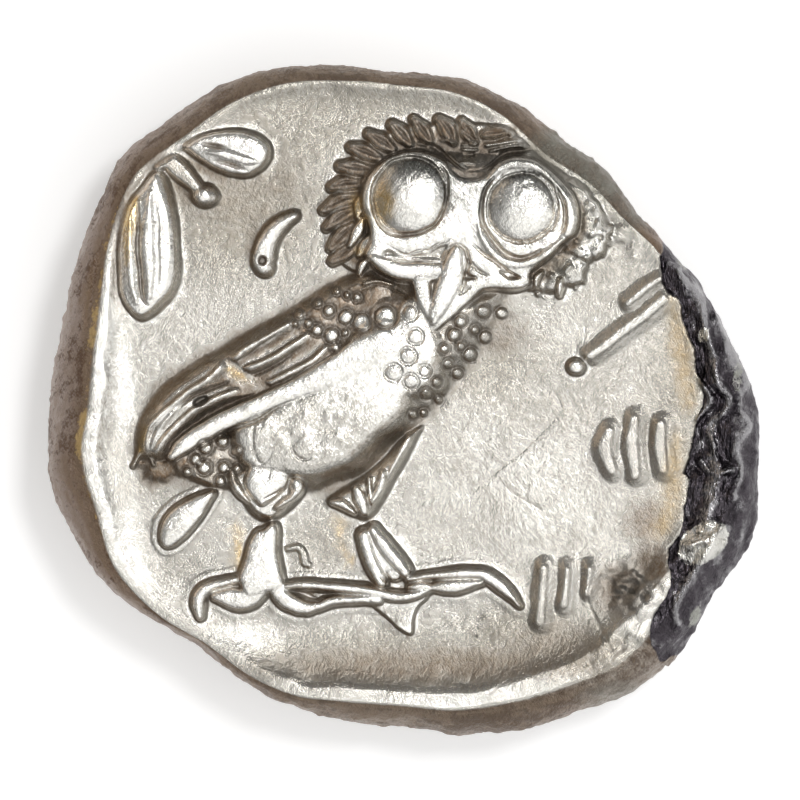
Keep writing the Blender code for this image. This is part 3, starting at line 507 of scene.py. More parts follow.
NECK = (
    (3.0, -0.8), (2.85, -2.4), (2.45, -3.5), (2.25, -4.9), (2.45, -6.2), (3.2, -7.4), (2.6, -8.2),
    (-0.6, -8.6), (-3.7, -8.0), (-3.9, -6.4), (-3.4, -4.6), (-3.1, -1.0), (-2.0, 1.0), (1.6, 1.0))
HEAD = (
    (4.5, 4.9), (4.78, 3.9), (4.98, 2.95), (5.0, 2.45), (4.88, 2.0), (5.15, 1.45), (5.62, 0.72),
    (5.9, 0.18), (5.82, -0.12), (5.42, -0.24), (5.26, -0.42), (5.46, -0.68), (5.36, -0.88),
    (5.16, -0.95), (5.34, -1.1), (5.34, -1.34), (5.06, -1.58), (5.02, -1.78), (5.2, -2.05),
    (5.18, -2.42), (4.85, -2.75), (4.3, -2.92), (3.5, -2.85), (2.7, -2.55), (2.0, -2.05),
    (1.2, -1.6), (-2.6, -2.6), (-4.4, -1.0), (-4.6, 3.0), (-2.0, 6.4), (2.0, 6.4))
BOWL = (
    (4.75, 4.75), (4.2, 4.35), (3.2, 3.85), (2.2, 3.1), (1.5, 2.2), (1.0, 1.2), (0.6, 0.0),
    (0.0, -1.4), (-1.2, -2.6), (-2.6, -3.4), (-4.2, -3.9), (-5.5, -3.6), (-5.9, -2.8), (-5.4, -1.6),
    (-5.1, 0.4), (-5.0, 2.8), (-4.5, 4.9), (-3.2, 6.7), (-1.4, 7.8), (0.4, 8.05), (2.2, 7.6),
    (3.7, 6.5), (4.6, 5.5))
BOWL_RIM = (
    (4.75, 4.8, 0.16), (3.2, 3.9, 0.18), (2.2, 3.15, 0.18), (1.45, 2.2, 0.18), (0.95, 1.2, 0.18),
    (0.5, -0.1, 0.18), (-0.1, -1.4, 0.18), (-1.3, -2.6, 0.18), (-2.7, -3.4, 0.18),
    (-4.3, -3.85, 0.18), (-5.6, -3.3, 0.14))
CREST_MIDDLE = (0.2, 2.8)
CREST_RADIUS = 5.95
CREST_SPAN = (0.62, 3.55)
CREST_WIDTHS = (0.72, 0.42)      # the crest's half width at its front and its back
CREST_JOINTS = 15
CREST_HAIRS = 42
HAIR_ENDS = (-0.35, 0.60)        # where a hair starts and ends, from the crest's middle line
HAIR_LEAN = 0.06
HAIR_HALF_WIDTH = 0.07
HAIR = (
    ((0.4, -1.4, 0.14), (-0.4, -2.9, 0.24), (-1.2, -4.1, 0.2), (-1.6, -5.4, 0.1)),
    ((-0.7, -2.6, 0.14), (-1.5, -3.7, 0.24), (-2.1, -4.8, 0.2), (-2.3, -6.0, 0.1)),
    ((-1.9, -3.3, 0.14), (-2.5, -4.2, 0.24), (-2.95, -5.2, 0.2), (-3.1, -6.3, 0.1)))
# Rows of small curls under the helmet's rim: where they run, how many, how large.
CURLS = ((((4.45, 4.30, 0), (3.2, 3.42, 0), (2.1, 2.55, 0), (1.62, 1.5, 0)), 12, 0.23),
         (((4.35, 3.85, 0), (3.3, 3.02, 0), (2.45, 2.25, 0), (2.0, 1.75, 0)), 10, 0.20))
PROFILE_LINES = (
    ((3.0, 2.62, 0.05), (3.6, 2.86, 0.1), (4.3, 2.82, 0.12), (4.8, 2.5, 0.06)),
    ((3.1, 1.72, 0.04), (3.5, 2.02, 0.08), (4.05, 2.14, 0.09), (4.5, 1.92, 0.07),
     (4.72, 1.66, 0.03)),
    ((3.1, 1.66, 0.03), (3.55, 1.4, 0.05), (4.1, 1.34, 0.06), (4.65, 1.58, 0.03)),
    ((4.45, -0.78, 0.05), (4.85, -0.64, 0.11), (5.25, -0.66, 0.07)),
    ((4.5, -1.12, 0.05), (4.85, -1.24, 0.11), (5.2, -1.2, 0.06)))
MOUTH = ((4.5, -0.93, 0.03), (5.2, -0.94, 0.05))
SOCKET = (3.95, 1.72, 0.95, 0.55)
EYEBALL = (3.98, 1.73, 0.48, 0.26)
NOSTRIL = (5.22, 0.08, 0.24, 0.22)
CHIN = (4.72, -2.25, 0.42, 0.38)
CHEEK = (3.3, -0.6, 1.5, 1.5)
EAR = ((2.15, 0.9, 0.10), (2.45, 1.25, 0.13), (2.35, 1.7, 0.12), (1.95, 1.65, 0.12),
       (1.75, 1.1, 0.12), (1.85, 0.4, 0.12), (2.15, 0.15, 0.14))
EARRING = (2.1, -0.65, 0.42)
EARRING_HOLE = (2.1, -0.65, 0.2)
HELMET_LEAVES = (
    ((3.1, 4.25, 0.04), (3.0, 4.9, 0.2), (3.3, 5.6, 0.04)),
    ((2.1, 3.65, 0.04), (1.9, 4.4, 0.22), (2.2, 5.2, 0.04)),
    ((1.2, 2.8, 0.04), (0.9, 3.5, 0.22), (1.1, 4.4, 0.04)))
SCROLL = (
    ((-0.9, -0.9, 0.05), (-1.7, 0.2, 0.12), (-2.2, 1.6, 0.13), (-1.8, 2.9, 0.12), (-0.9, 3.2, 0.11),
     (-0.5, 2.5, 0.1), (-1.0, 2.0, 0.06)),
    ((-1.9, 0.6, 0.05), (-2.9, 0.9, 0.12), (-3.7, 1.8, 0.12), (-3.5, 2.8, 0.11), (-2.9, 2.7, 0.05)),
    ((-2.2, 1.4, 0.04), (-2.7, 3.2, 0.11), (-2.4, 4.6, 0.12), (-1.5, 5.3, 0.05)))
BEAD_RADIUS = 0.27
NECKLACE = (
    (2.1, -6.4), (1.4, -6.9), (0.6, -7.2), (-0.3, -7.35), (-1.2, -7.3), (-2.1, -7.05),
    (-2.95, -6.6))

# ---- What has happened to the coin since ----

# Where the black crust begins, how its folds run (x, y, half width), and where bare metal
# shows through it, as (x, y, half length, half width, turn, amount).
CRUST_REACH = 8.2
CRUST_LEVEL = -0.16
CRUST_SLOPE = 0.12
FOLD_HEIGHT = 0.32
FOLD_SPREAD = 0.05
BARE_HEIGHT = 0.10
CRUST_LINE = (
    (9.2, 6.2), (8.95, 5.1), (9.1, 4.0), (9.6, 3.5), (9.7, 2.9), (10.1, 1.9), (10.15, 1.2),
    (10.35, 0.6), (10.4, 0.1), (10.2, -0.5), (10.1, -1.1), (9.95, -1.85), (9.75, -2.4),
    (9.95, -2.65), (9.88, -3.2), (9.75, -3.8), (9.66, -4.3), (9.4, -4.8), (9.15, -5.4), (9.3, -6.0),
    (9.15, -6.6), (8.8, -7.2), (8.55, -7.9), (8.75, -8.6), (9.0, -8.95), (9.6, -8.75), (10.2, -8.9))
CRUST_CORNERS = ((16.0, -9.6), (16.0, 6.2))
CRUST_FOLDS = (
    ((9.6, 4.6, 0.1), (10.0, 4.0, 0.16), (10.4, 2.5, 0.2), (10.85, 1.0, 0.22), (11.16, 0.2, 0.2),
     (10.9, -0.7, 0.2), (10.7, -1.7, 0.24), (10.64, -2.8, 0.2), (10.75, -3.8, 0.24),
     (10.4, -5.3, 0.22), (9.6, -6.6, 0.16), (9.5, -7.6, 0.14)),
    ((10.9, 3.4, 0.12), (11.3, 2.2, 0.16), (11.7, 1.0, 0.18), (11.8, -0.4, 0.16),
     (11.6, -1.8, 0.18), (11.5, -3.2, 0.16)),
    ((10.0, 0.9, 0.05), (10.6, 0.2, 0.1), (10.3, -0.6, 0.07)),
    ((10.2, -2.0, 0.08), (10.5, -2.4, 0.12), (11.2, -2.3, 0.1)),
    ((9.9, -4.9, 0.1), (10.6, -4.6, 0.14), (11.4, -4.3, 0.12)))
CRUST_BARE = (
    (10.42, 2.35, 0.45, 0.28, 1.3, 0.9), (11.6, 0.9, 1.15, 0.4, 1.5, 0.55),
    (10.4, -4.85, 1.25, 0.85, 0.6, 1.4), (10.15, -7.4, 0.8, 0.36, 1.1, 0.62),
    (9.7, 4.9, 0.7, 0.35, 2.0, 0.5), (11.4, -3.2, 0.7, 0.28, 1.4, 0.4))
# Where the surface is corroded or broken, as (x, y, half width, half height, depth).
ROUGH_PLACES = (
    (7.9, -6.4, 1.3, 1.3, 0.13), (7.3, 6.2, 1.6, 2.3, 0.055), (7.9, -8.5, 1.5, 1.1, 0.05),
    (5.8, 8.6, 1.6, 1.0, 0.04), (-2.2, 5.2, 0.7, 0.5, 0.03), (5.5, 4.7, 1.2, 0.8, 0.05),
    (2.0, -7.7, 2.4, 0.9, 0.03), (-3.2, -1.0, 2.4, 1.2, 0.025), (-11.0, 0.0, 0.9, 8.0, 0.03),
    (4.2, 7.7, 0.9, 0.5, 0.03))
# Patches rubbed bright, over the field partly painted sheen where the light pools, most of all
# right of the owl; and patches stained brown. As (x, y, half width, half height, amount).
RUBBED_AND_SHEEN = (
    (5.0, -2.8, 4.0, 3.2, 0.3), (-9.2, -4.8, 1.6, 3.2, 0.38), (-5.2, -8.1, 2.4, 1.0, 0.45),
    (-7.2, 3.4, 1.8, 1.8, 0.25), (2.5, -0.6, 2.0, 2.0, 0.3), (-4.7, 8.0, 0.8, 1.2, 0.3),
    (5.8, 2.2, 1.6, 1.2, 0.3), (-9.6, 0.0, 0.7, 3.0, 0.5))
# Among the brown patches, the one at (8.5, -4.1) is a painted shadow below the strokes beside the
# crust, and the one at (3.3, 2.4) darkens the field under the chin.
STAINS_AND_SHADOWS = (
    (8.5, -4.1, 1.2, 1.0, 0.7), (-2.1, 5.25, 0.6, 0.35, 0.6), (1.0, -9.15, 7.5, 0.8, 0.58),
    (5.2, 4.65, 0.9, 0.55, 0.6), (-9.9, 6.8, 0.7, 1.7, 0.8), (-9.0, 8.5, 1.1, 0.7, 0.7),
    (8.6, -5.6, 0.8, 1.0, 1.1), (7.7, -6.5, 1.4, 1.2, 0.9), (7.9, -9.6, 0.7, 0.5, 0.7),
    (-7.5, 7.2, 0.8, 0.6, 0.3), (5.4, -8.5, 2.8, 1.1, 0.36), (-5.4, 7.2, 3.2, 2.4, 0.25),
    (3.3, 2.4, 1.5, 1.1, 0.4))
# Gray skin where the surface is corroded.
GRAYED = (
    (5.8, 8.9, 1.9, 1.2, 1.2), (7.0, 7.9, 1.7, 1.3, 1.2), (8.1, 6.8, 1.1, 1.1, 0.8),
    (6.35, 6.1, 0.7, 1.4, 0.5), (5.6, 4.7, 1.0, 0.6, 0.7), (9.3, 4.6, 0.6, 1.2, 0.5),
    (7.6, -10.2, 2.4, 0.8, 0.6))
# Cracks in the rim and in the broken skin beside the head.
CRACKS = (
    ((6.1, 7.5, 0.02), (6.7, 7.35, 0.05), (7.4, 7.45, 0.03), (7.9, 7.2, 0.01)),
    ((7.6, 6.9, 0.01), (8.1, 6.4, 0.03), (8.7, 5.7, 0.01)),
    ((5.2, 8.6, 0.02), (5.9, 8.35, 0.04), (6.6, 8.5, 0.02)),
    ((-8.85, -7.35, 0.02), (-9.15, -7.6, 0.06)),
    ((-1.65, -10.3, 0.02), (-1.75, -10.9, 0.05)),
    ((6.2, -9.6, 0.02), (6.6, -9.3, 0.04), (6.5, -8.9, 0.02)),
    ((7.2, -9.0, 0.02), (7.5, -8.6, 0.04), (8.1, -8.5, 0.02)),
    ((3.0, -10.1, 0.02), (3.3, -9.8, 0.03), (3.8, -9.7, 0.01)))
# Black specks in the pits beside the crust.
PITTED = (
    (7.9, -6.6, 1.3, 1.15, 0.95), (8.4, -5.5, 0.6, 0.9, 0.75), (7.8, -9.8, 0.8, 0.5, 0.9),
    (6.8, -10.6, 2.0, 0.45, 0.8))
# Broad toned areas, partly painted shade darkening the field at the top, the upper left, along the
# bottom rim and beside the head; as (x, y, half width, half height, amount).
TANNED_AND_SHADED = (
    (-2.0, 9.8, 9.0, 2.6, 0.85), (-6.0, 6.8, 4.6, 3.8, 0.9), (0.0, -9.0, 7.8, 1.6, 1.0),
    (6.0, -8.6, 3.4, 1.6, 1.0), (9.6, 0.0, 1.8, 5.5, 0.7), (7.4, 5.4, 2.8, 3.0, 0.3),
    (3.0, 1.2, 1.8, 2.2, 0.7), (-3.0, -5.0, 1.8, 1.3, 0.6), (-9.6, 7.4, 1.6, 2.0, 0.5),
    (5.4, 0.6, 3.6, 2.6, 0.35), (-5.2, 6.8, 3.0, 2.8, 1.25), (4.6, -8.3, 4.2, 1.8, 1.2),
    (-7.6, -5.8, 1.6, 0.8, 0.35))
# Golden streaks beside the leaf, on the rim and under the thighs.
GOLDEN = (
    ((-9.25, 7.15, 0.08), (-9.42, 6.7, 0.2), (-9.5, 6.2, 0.22), (-9.56, 5.6, 0.14),
     (-9.62, 4.8, 0.05)),
    ((-10.55, 5.6, 0.06), (-10.75, 4.6, 0.12), (-10.95, 3.6, 0.12), (-11.1, 2.4, 0.06)),
    ((-6.05, 1.2, 0.06), (-5.75, 1.0, 0.1), (-5.5, 0.85, 0.05)),
    ((-5.9, -4.3, 0.06), (-5.7, -5.0, 0.1), (-5.75, -5.7, 0.06)),
    ((-2.3, -4.0, 0.08), (-2.0, -4.8, 0.1), (-1.75, -5.6, 0.06)),
    ((-9.0, -0.8, 0.08), (-9.15, -1.6, 0.1)))
# Golden brown along the crust.
FRINGES = (
    ((9.3, 3.6, 0.1), (9.6, 2.2, 0.3), (9.8, 1.0, 0.26), (9.9, 0.0, 0.2)),
    ((9.5, -1.2, 0.1), (9.3, -2.4, 0.3), (9.35, -3.4, 0.24), (8.9, -4.4, 0.26)))
# Brown beside the leaves and stems.
BROWNED = (
    ((-9.5, 7.6, 0.12), (-9.85, 6.9, 0.16), (-9.98, 6.0, 0.16), (-10.0, 5.0, 0.12),
     (-9.92, 4.0, 0.1), (-9.6, 3.3, 0.08)),
    ((-7.5, 8.5, 0.1), (-7.1, 8.2, 0.12), (-6.6, 7.95, 0.1), (-6.1, 7.8, 0.06)),
    ((-8.1, 7.9, 0.08), (-7.8, 7.5, 0.12), (-7.4, 7.15, 0.1), (-7.0, 6.95, 0.05)),
    ((-5.05, 5.9, 0.06), (-5.25, 5.4, 0.09), (-5.25, 4.9, 0.08)))
# How these streaks are laid on, as (layer, lines, amount, reach).
STREAKS = (("gold", FRINGES, 0.45, 0.6), ("brown", FRINGES, 0.35, 0.6),
           ("brown", BROWNED, 0.8, 0.25), ("gold", GOLDEN, 1.2, 0.16))

# ---- The stage, in metres ----

# The lights, each as its diameter and its place.
LIGHTS = {"softbox": (0.85, (0.145, -0.19, 0.53)), "lamp": (0.10, (0.13, 0.11, 0.42)),
          "fill": (0.50, (0.52, -0.12, 0.22)), "reflector": (0.45, (-0.44, 0.30, 0.19))}
FLOOR_SIZE = 8.0
FLOOR_DROP = 0.00002     # the floor's gap below the coin
FLOOR_ROUGHNESS = 0.9
CAMERA_SHIFT = 0.0001    # how far left of the coin's middle the camera stands
CAMERA_RANGE = (0.01, 10.0)


# ---- Curves, noise and distances ----

def between(before, start, end, after, t):
    """The smooth curve from start to end, for t from 0 to 1, that suits the two beyond them."""
    return 0.5 * (2 * start + (end - before) * t
                  + (2 * before - 5 * start + 4 * end - after) * t ** 2
                  + (3 * start - before - 3 * end + after) * t ** 3)


def around(values, angle):
    """The smooth periodic curve through evenly spaced values, read at each angle."""
    values = np.array(values)
    place = (angle / (2 * np.pi) * len(values)) % len(values)
    knot = np.floor(place).astype(int)
    return between(*(values[(knot + k) % len(values)] for k in (-1, 0, 1, 2)), place - knot)


def smooth_path(points, closed=False, steps=7):
    """A Catmull-Rom curve through the points; every column, such as a width, is smoothed."""
    points = np.array(points, float)
    if closed:
        points = np.vstack((points[-1:], points, points[:2]))
    else:
        points = np.vstack((2 * points[0] - points[1], points, 2 * points[-1] - points[-2]))
    t = np.linspace(0, 1, steps, endpoint=False)[:, None]
    rows = [between(*four, t) for four in zip(points, points[1:], points[2:], points[3:])]
    return np.vstack((*rows, points[-2:-1]))


def nearest(x, y, path, with_side=False):
    """Distance from each point to the path, and the path's last column at the nearest place.

    With with_side it also gives +1 to the left of the path and -1 to its right.
    """
    best = np.full(x.shape, np.inf)
    value = np.zeros(x.shape)
    side = np.zeros(x.shape)
    for start, end in zip(path, path[1:]):
        along = end[:2] - start[:2]
        from_x, from_y = x - start[0], y - start[1]
        length_squared = max(along @ along, NEXT_TO_NOTHING)
        t = np.clip((from_x * along[0] + from_y * along[1]) / length_squared, 0, 1)
        squared = (from_x - t * along[0]) ** 2 + (from_y - t * along[1]) ** 2
        closer = squared < best
        best = np.where(closer, squared, best)
        value = np.where(closer, start[-1] + t * (end[-1] - start[-1]), value)
        if with_side:
            side = np.where(closer, np.sign(along[0] * from_y - along[1] * from_x), side)
    if with_side:
        return np.sqrt(best), value, side
    return np.sqrt(best), value


def inside(x, y, loop):
    """True for each point that lies within the closed loop."""
    within = np.zeros(x.shape, bool)
    for (start_x, start_y), (end_x, end_y) in zip(loop, loop[1:]):
        if start_y == end_y:
            continue
        spans = (start_y > y) != (end_y > y)
        crossing = start_x + (y - start_y) * (end_x - start_x) / (end_y - start_y)
        within ^= spans & (x < crossing)
    return within


def ease(t):
    """0 to 1 with a smooth start and end."""
    t = np.clip(t, 0, 1)
    return t * t * (3 - 2 * t)


def flow_facing(depth):
    """How far each place's outline faces the way the metal flowed: 1 fully, -1 fully away."""
    across, up = np.gradient(depth)
    size = np.hypot(across, up) + NEXT_TO_NOTHING
    return -(FLOW_WAY[0] * across + FLOW_WAY[1] * up) / size


def rise(depth, reach):
    """A quarter circle up from an outline: steep at first, level once it is reach inside."""
    return np.sqrt(1 - (1 - np.clip(depth / reach, 0, 1)) ** 2)


def ripple(x, y, size, seed):
    """Smooth random waves between -1 and 1, about one size apart."""
    lattice = np.random.default_rng(seed).uniform(-1, 1, (LATTICE, LATTICE))
    column = np.floor(x / size).astype(int)
    row = np.floor(y / size).astype(int)
    across = ease(x / size - column)
    up = ease(y / size - row)

    def along_row(j):
        start, end = (lattice[(column + i) % LATTICE, (row + j) % LATTICE] for i in (0, 1))
        return start + across * (end - start)

    low, high = along_row(0), along_row(1)
    return low + up * (high - low)


def ripples(x, y, rows):
    """Several ripples added up, from rows of (height, size, seed)."""
    return sum(height * ripple(x, y, size, seed) for height, size, seed in rows)


# Some cells of a die, and how deep each lies inside an outline; negative outside it.
Shape = namedtuple("Shape", "window depth")


def grown(shape, by):
    """A shape with its outline moved outwards."""
    return Shape(shape.window, shape.depth + by)


def along_outline(shape, inset, half_width):
    """The band that follows a shape's outline, some way inside it."""
    return Shape(shape.window, half_width - np.abs(shape.depth - inset))


def cover(x, y, centre_x, centre_y, half_x, half_y, turn=0.0):
    """A soft oval patch: 1 at its middle, 0 from its outline on."""
    cos, sin = np.cos(turn), np.sin(turn)
    along = ((x - centre_x) * cos + (y - centre_y) * sin) / half_x
    across = ((y - centre_y) * cos - (x - centre_x) * sin) / half_y
    return np.clip(1.6 * (1 - np.hypot(along, across)), 0, 1)


# ---- The die: a plate of fine cells in which one side of the coin is cut ----

class Die:
    """A square plate of fine cells, holding a height in millimetres for each of them."""

    def __init__(self):
        self.axis = np.linspace(-DIE_REACH, DIE_REACH, DIE_CELLS)
        self.x, self.y = np.meshgrid(self.axis, self.axis, indexing="ij")
        self.warped_x = self.x + ripples(self.x, self.y, BENDS_X)
        self.warped_y = self.y + ripples(self.x, self.y, BENDS_Y)
        self.flow = FLOW_MEAN + ripples(self.x, self.y, FLOW_RIPPLES)
        self.height = np.zeros(self.x.shape)
        self.layers = {name: np.zeros(self.x.shape) for name in LAYERS}

    def window(self, points, margin):
        """The cells around some points."""
        low = np.searchsorted(self.axis, np.min(points, axis=0)[:2] - margin)
        high = np.searchsorted(self.axis, np.max(points, axis=0)[:2] + margin)
        return np.s_[low[0]:high[0], low[1]:high[1]]

    def stroke(self, points, margin=0.9):
        """The shape of a stroke through (x, y, half width)."""
        path = smooth_path(points)
        window = self.window(path, margin)
        distance, half_width = nearest(self.warped_x[window], self.warped_y[window], path)
        return Shape(window, half_width - distance)

    def outline(self, points, margin=1.0):
        """The shape inside a closed line through (x, y)."""
        loop = smooth_path(points, closed=True)
        window = self.window(loop, margin)
        x, y = self.warped_x[window], self.warped_y[window]
        distance, _ = nearest(x, y, loop)
        return Shape(window, np.where(inside(x, y, loop), distance, -distance))

    def shape(self, form):
        """The shape of an outline or a stroke; one that is a shape already stays as it is."""
        if isinstance(form, Shape):
            return form
        return self.outline(form) if len(form[0]) == 2 else self.stroke(form)

    def oval(self, centre_x, centre_y, half_x, half_y=None, turn=0.0, margin=0.9):
        """The shape of an oval."""
        half_y = half_y or half_x
        reach = max(half_x, half_y)
        window = self.window(((centre_x - reach, centre_y - reach),
                              (centre_x + reach, centre_y + reach)), margin)
        x, y = self.warped_x[window] - centre_x, self.warped_y[window] - centre_y
        along = x * np.cos(turn) + y * np.sin(turn)
        across = y * np.cos(turn) - x * np.sin(turn)
        depth = (1 - np.hypot(along / half_x, across / half_y)) * min(half_x, half_y)
        return Shape(window, depth)

    def lift(self, form, height, slope, crown=0.0, reach=0.3):
        """Raises a form with a soft slope outside its outline and a rounded top.

        The slope is longer on the side that the metal flowed to, which is the right.
        """
        window, depth = self.shape(form)
        run = slope * (self.flow[window] + FLOW_EXTRA * flow_facing(depth))
        level = height * ease(1 + depth / run) + crown * rise(depth, reach)
        self.height[window] = np.maximum(self.height[window], level)

    def slope(self, form, height, reach):
        """Raises a form whose side is one long slope, inward from its outline."""
        window, depth = self.shape(form)
        self.height[window] = np.maximum(self.height[window], height * ease(depth / reach))

    def add(self, form, height, reach):
        """Raises a round-edged form above whatever is already there."""
        window, depth = self.shape(form)
        self.height[window] += height * rise(depth, reach)

    def shingle(self, path, height, reach, lip=0.07):
        """Adds a feather's front ridge, falling away on the left of its path."""
        path = smooth_path(path)
        window = self.window(path, reach + 0.2)
        x, y = self.warped_x[window], self.warped_y[window]
        distance, strength, side = nearest(x, y, path, with_side=True)
        fall = np.where(side > 0, distance / reach, distance / lip)
        self.height[window] += height * np.clip(strength, 0, 1) * (1 - ease(fall))

    def sink(self, form, depth_below, reach=0.08):
        """Sinks a groove or hollow with sloping sides."""
        window, depth = self.shape(form)
        self.height[window] -= depth_below * ease(depth / reach)

    def emboss(self, lines, height, reach):
        """Adds a round-edged ridge along each line."""
        for line in lines:
            self.add(line, height, reach)

    def engrave(self, lines, depth_below, reach, dirt=0.0, dirt_reach=0.1):
        """Sinks a groove along each line, with dirt in it."""
        for line in lines:
            groove = self.stroke(line)
            self.sink(groove, depth_below, reach)
            self.paint("dirt", groove, dirt, dirt_reach)

    def paint(self, layer, form, amount, reach=0.3):
        """Spreads toning over a shape, faded out over its edge."""
        window, depth = self.shape(form)
        values = self.layers[layer]
        values[window] = np.maximum(values[window], amount * ease(0.5 + depth / reach))

    def tone(self, rows):
        """Spreads toning over forms, from rows of (layer, forms, amount, reach)."""
        for layer, forms, amount, reach in rows:
            for form in forms:
                self.paint(layer, form, amount, reach)

    def wipe(self, form, reach=0.3):
        """Takes the toning off a shape that hands have rubbed."""
        window, depth = self.shape(form)
        for values in self.layers.values():
            values[window] *= 1 - ease(depth / reach)

    def stain(self, layer, places, where=1.0):
        """Spreads toning over soft ovals, as (x, y, half width, half height, amount); some of them
        lay painted shade and sheen instead.
        """
        values = self.layers[layer]
        for x, y, half_x, half_y, amount in places:
            spread = amount * cover(self.x, self.y, x, y, half_x, half_y)
            np.maximum(values, spread * where, out=values)

    def soften(self, values, radius):
        """The values blurred over a radius."""
        frequency = np.fft.fftfreq(DIE_CELLS, self.axis[1] - self.axis[0])
        across = np.exp(-2 * (np.pi * radius * frequency) ** 2)
        half = across[:DIE_CELLS // 2 + 1]
        return np.fft.irfft2(np.fft.rfft2(values) * across[:, None] * half, values.shape)

    def read(self, values, x, y):
        """The values at any points, between the cells."""
        step = self.axis[1] - self.axis[0]
        column = np.clip((x + DIE_REACH) / step, 0, DIE_CELLS - 1.001)
        row = np.clip((y + DIE_REACH) / step, 0, DIE_CELLS - 1.001)
        i, j = column.astype(int), row.astype(int)
        s, t = column - i, row - j
        return ((values[i, j] * (1 - s) + values[i + 1, j] * s) * (1 - t)
                + (values[i, j + 1] * (1 - s) + values[i + 1, j + 1] * s) * t)


# ---- Cutting the owl's die ----

def cut_body(die):
    """Wing, breast and belly as broad levels, with the hollow below the belly."""
    for form in BODY_FORMS:
        die.slope(*form)
    window, depth = die.outline(HOLLOW)
    level = die.height[window]
    cut_off = np.minimum(level, HOLLOW_HEIGHT) - level
    die.height[window] = level + cut_off * ease(depth / HOLLOW_REACH)
    plateau = die.outline(PLATEAU)
    die.lift(plateau, height=0.86, slope=0.75, crown=0.12, reach=0.9)
    die.tone(BODY_TONES)
    die.wipe(plateau)
    die.paint("tan", die.oval(*BELLY_PATCH, turn=0.25), amount=0.60, reach=0.8)


def cut_wing(die):
    """The folded wing: shoulder and long band, overlapping feathers and the gaps between."""
    for feather in FEATHERS:
        die.shingle(feather, height=0.25, reach=0.42, lip=0.14)
        die.wipe(die.stroke([(x, y, 0.24 * width) for x, y, width in feather]), reach=0.18)
    die.engrave(COVERT_GAPS, depth_below=0.16, reach=0.12, dirt=0.55, dirt_reach=0.12)
    divider = die.stroke(DIVIDER)
    die.lift(divider, height=0.60, slope=0.5)
    die.wipe(grown(divider, 0.1), reach=0.4)
    die.paint("tan", divider, amount=0.9, reach=0.4)
    die.paint("brown", divider, amount=0.35, reach=0.4)
    shoulder = die.stroke(SHOULDER)
    die.lift(shoulder, height=0.92, slope=0.10, crown=0.10, reach=0.30)
    die.wipe(shoulder, reach=0.10)
    die.engrave((WING_FOOT_GROOVE,), depth_below=0.14, reach=0.05)
    for line in WING_TIP_LINES:
        die.lift(line, height=0.36, slope=0.10)
        die.wipe(line, reach=0.05)
    pit = die.oval(*WING_PIT, turn=0.5)
    die.sink(pit, depth_below=0.16, reach=0.06)
    die.paint("dirt", pit, amount=1.4, reach=0.05)
    die.paint("soot", pit, amount=1.2, reach=0.05)
    die.engrave(SCALE_ARCS, depth_below=0.08, reach=0.05)


def cut_feathers(die):
    """Round feathers on the breast, the neck and under the wing, and the thighs' tufts."""
    for x, y, radius in FLAT_PELLETS:
        ring = along_outline(die.oval(x, y, radius + 0.05), 0.03, 0.05)
        die.sink(ring, depth_below=0.09, reach=0.04)
    for x, y, radius in BREAST_PELLETS + NECK_PELLETS + FLANK_PELLETS:
        around_it = die.oval(x, y, radius + 0.06)
        pellet = die.oval(x, y, radius)
        die.sink(along_outline(around_it, 0.03, 0.07), depth_below=0.09, reach=0.06)
        die.paint("dirt", along_outline(around_it, 0.03, 0.05), amount=0.45, reach=0.06)
        die.add(pellet, height=0.13, reach=0.8 * radius)
        die.wipe(pellet, reach=0.08)
    die.lift(COLLAR_RIDGE, height=0.84, slope=0.1)
    die.engrave((COLLAR,), depth_below=0.20, reach=0.06)
    for outline in THIGH_LOBES:
        die.lift(outline, height=0.74, slope=0.14, crown=0.14, reach=0.35)
        die.wipe(outline)
    die.lift(THIGH_CRESCENT, height=0.70, slope=0.14, crown=0.08, reach=0.12)
    die.engrave(THIGH_LINES, depth_below=0.12, reach=0.05)
    for line in SHIN_FEATHERS:
        die.lift(line, height=0.66, slope=0.12, crown=0.10, reach=0.2)
        die.wipe(line, reach=0.1)
    die.engrave(SHIN_ARCS, depth_below=0.12, reach=0.05)
    die.lift(THIGH_RIDGE, height=0.56, slope=0.22)


def cut_legs(die):
    """Legs, toes, the stump between them and the tail feather."""
    die.lift(LEFT_LEG, height=0.54, slope=0.20, crown=0.07, reach=0.4)
    die.lift(SHANK_WEB, height=0.46, slope=0.2)
    for shank in SHANKS:
        die.lift(shank, height=0.52, slope=0.20, crown=0.06, reach=0.18)
    die.engrave((FOOT_JOINT,), depth_below=0.12, reach=0.10)
    die.lift(STUMP, height=0.26, slope=0.08)
    for points in TOES:
        toe = die.stroke(points)
        die.lift(grown(toe, 0.34), height=0.03, slope=0.06)
        die.lift(toe, height=0.44, slope=0.17, crown=0.08, reach=0.18)
    die.engrave(TOE_GROOVES, depth_below=0.14, reach=0.05)
    die.lift(LUMP_ARC, height=0.10, slope=0.10)
    tail = die.outline(TAIL)
    die.lift(grown(tail, 0.30), height=0.05, slope=0.05)
    die.lift(tail, height=0.40, slope=0.17, crown=0.10, reach=0.30)
    die.engrave((TAIL_VEIN,), depth_below=0.06, reach=0.05)


def cut_eye(die, eye):
    """One ringed eyeball: a dome that leans towards its lower right, in a narrow groove."""
    x, y, half_x, half_y, turn, swell, lean = eye
    window, depth = die.oval(x, y, half_x, half_y, turn=turn)
    lip_height, lip_width = EYE_LIP
    dome = EYE_HEIGHT - swell - EYE_GROOVE + swell * rise(depth, min(half_x, half_y))
    dome += lip_height * rise(depth, lip_width)
    dome += lean * ((die.warped_x[window] - x) * 0.6 - (die.warped_y[window] - y) * 0.8) * 0.5
    die.height[window] = np.where(depth > 0, dome, die.height[window])


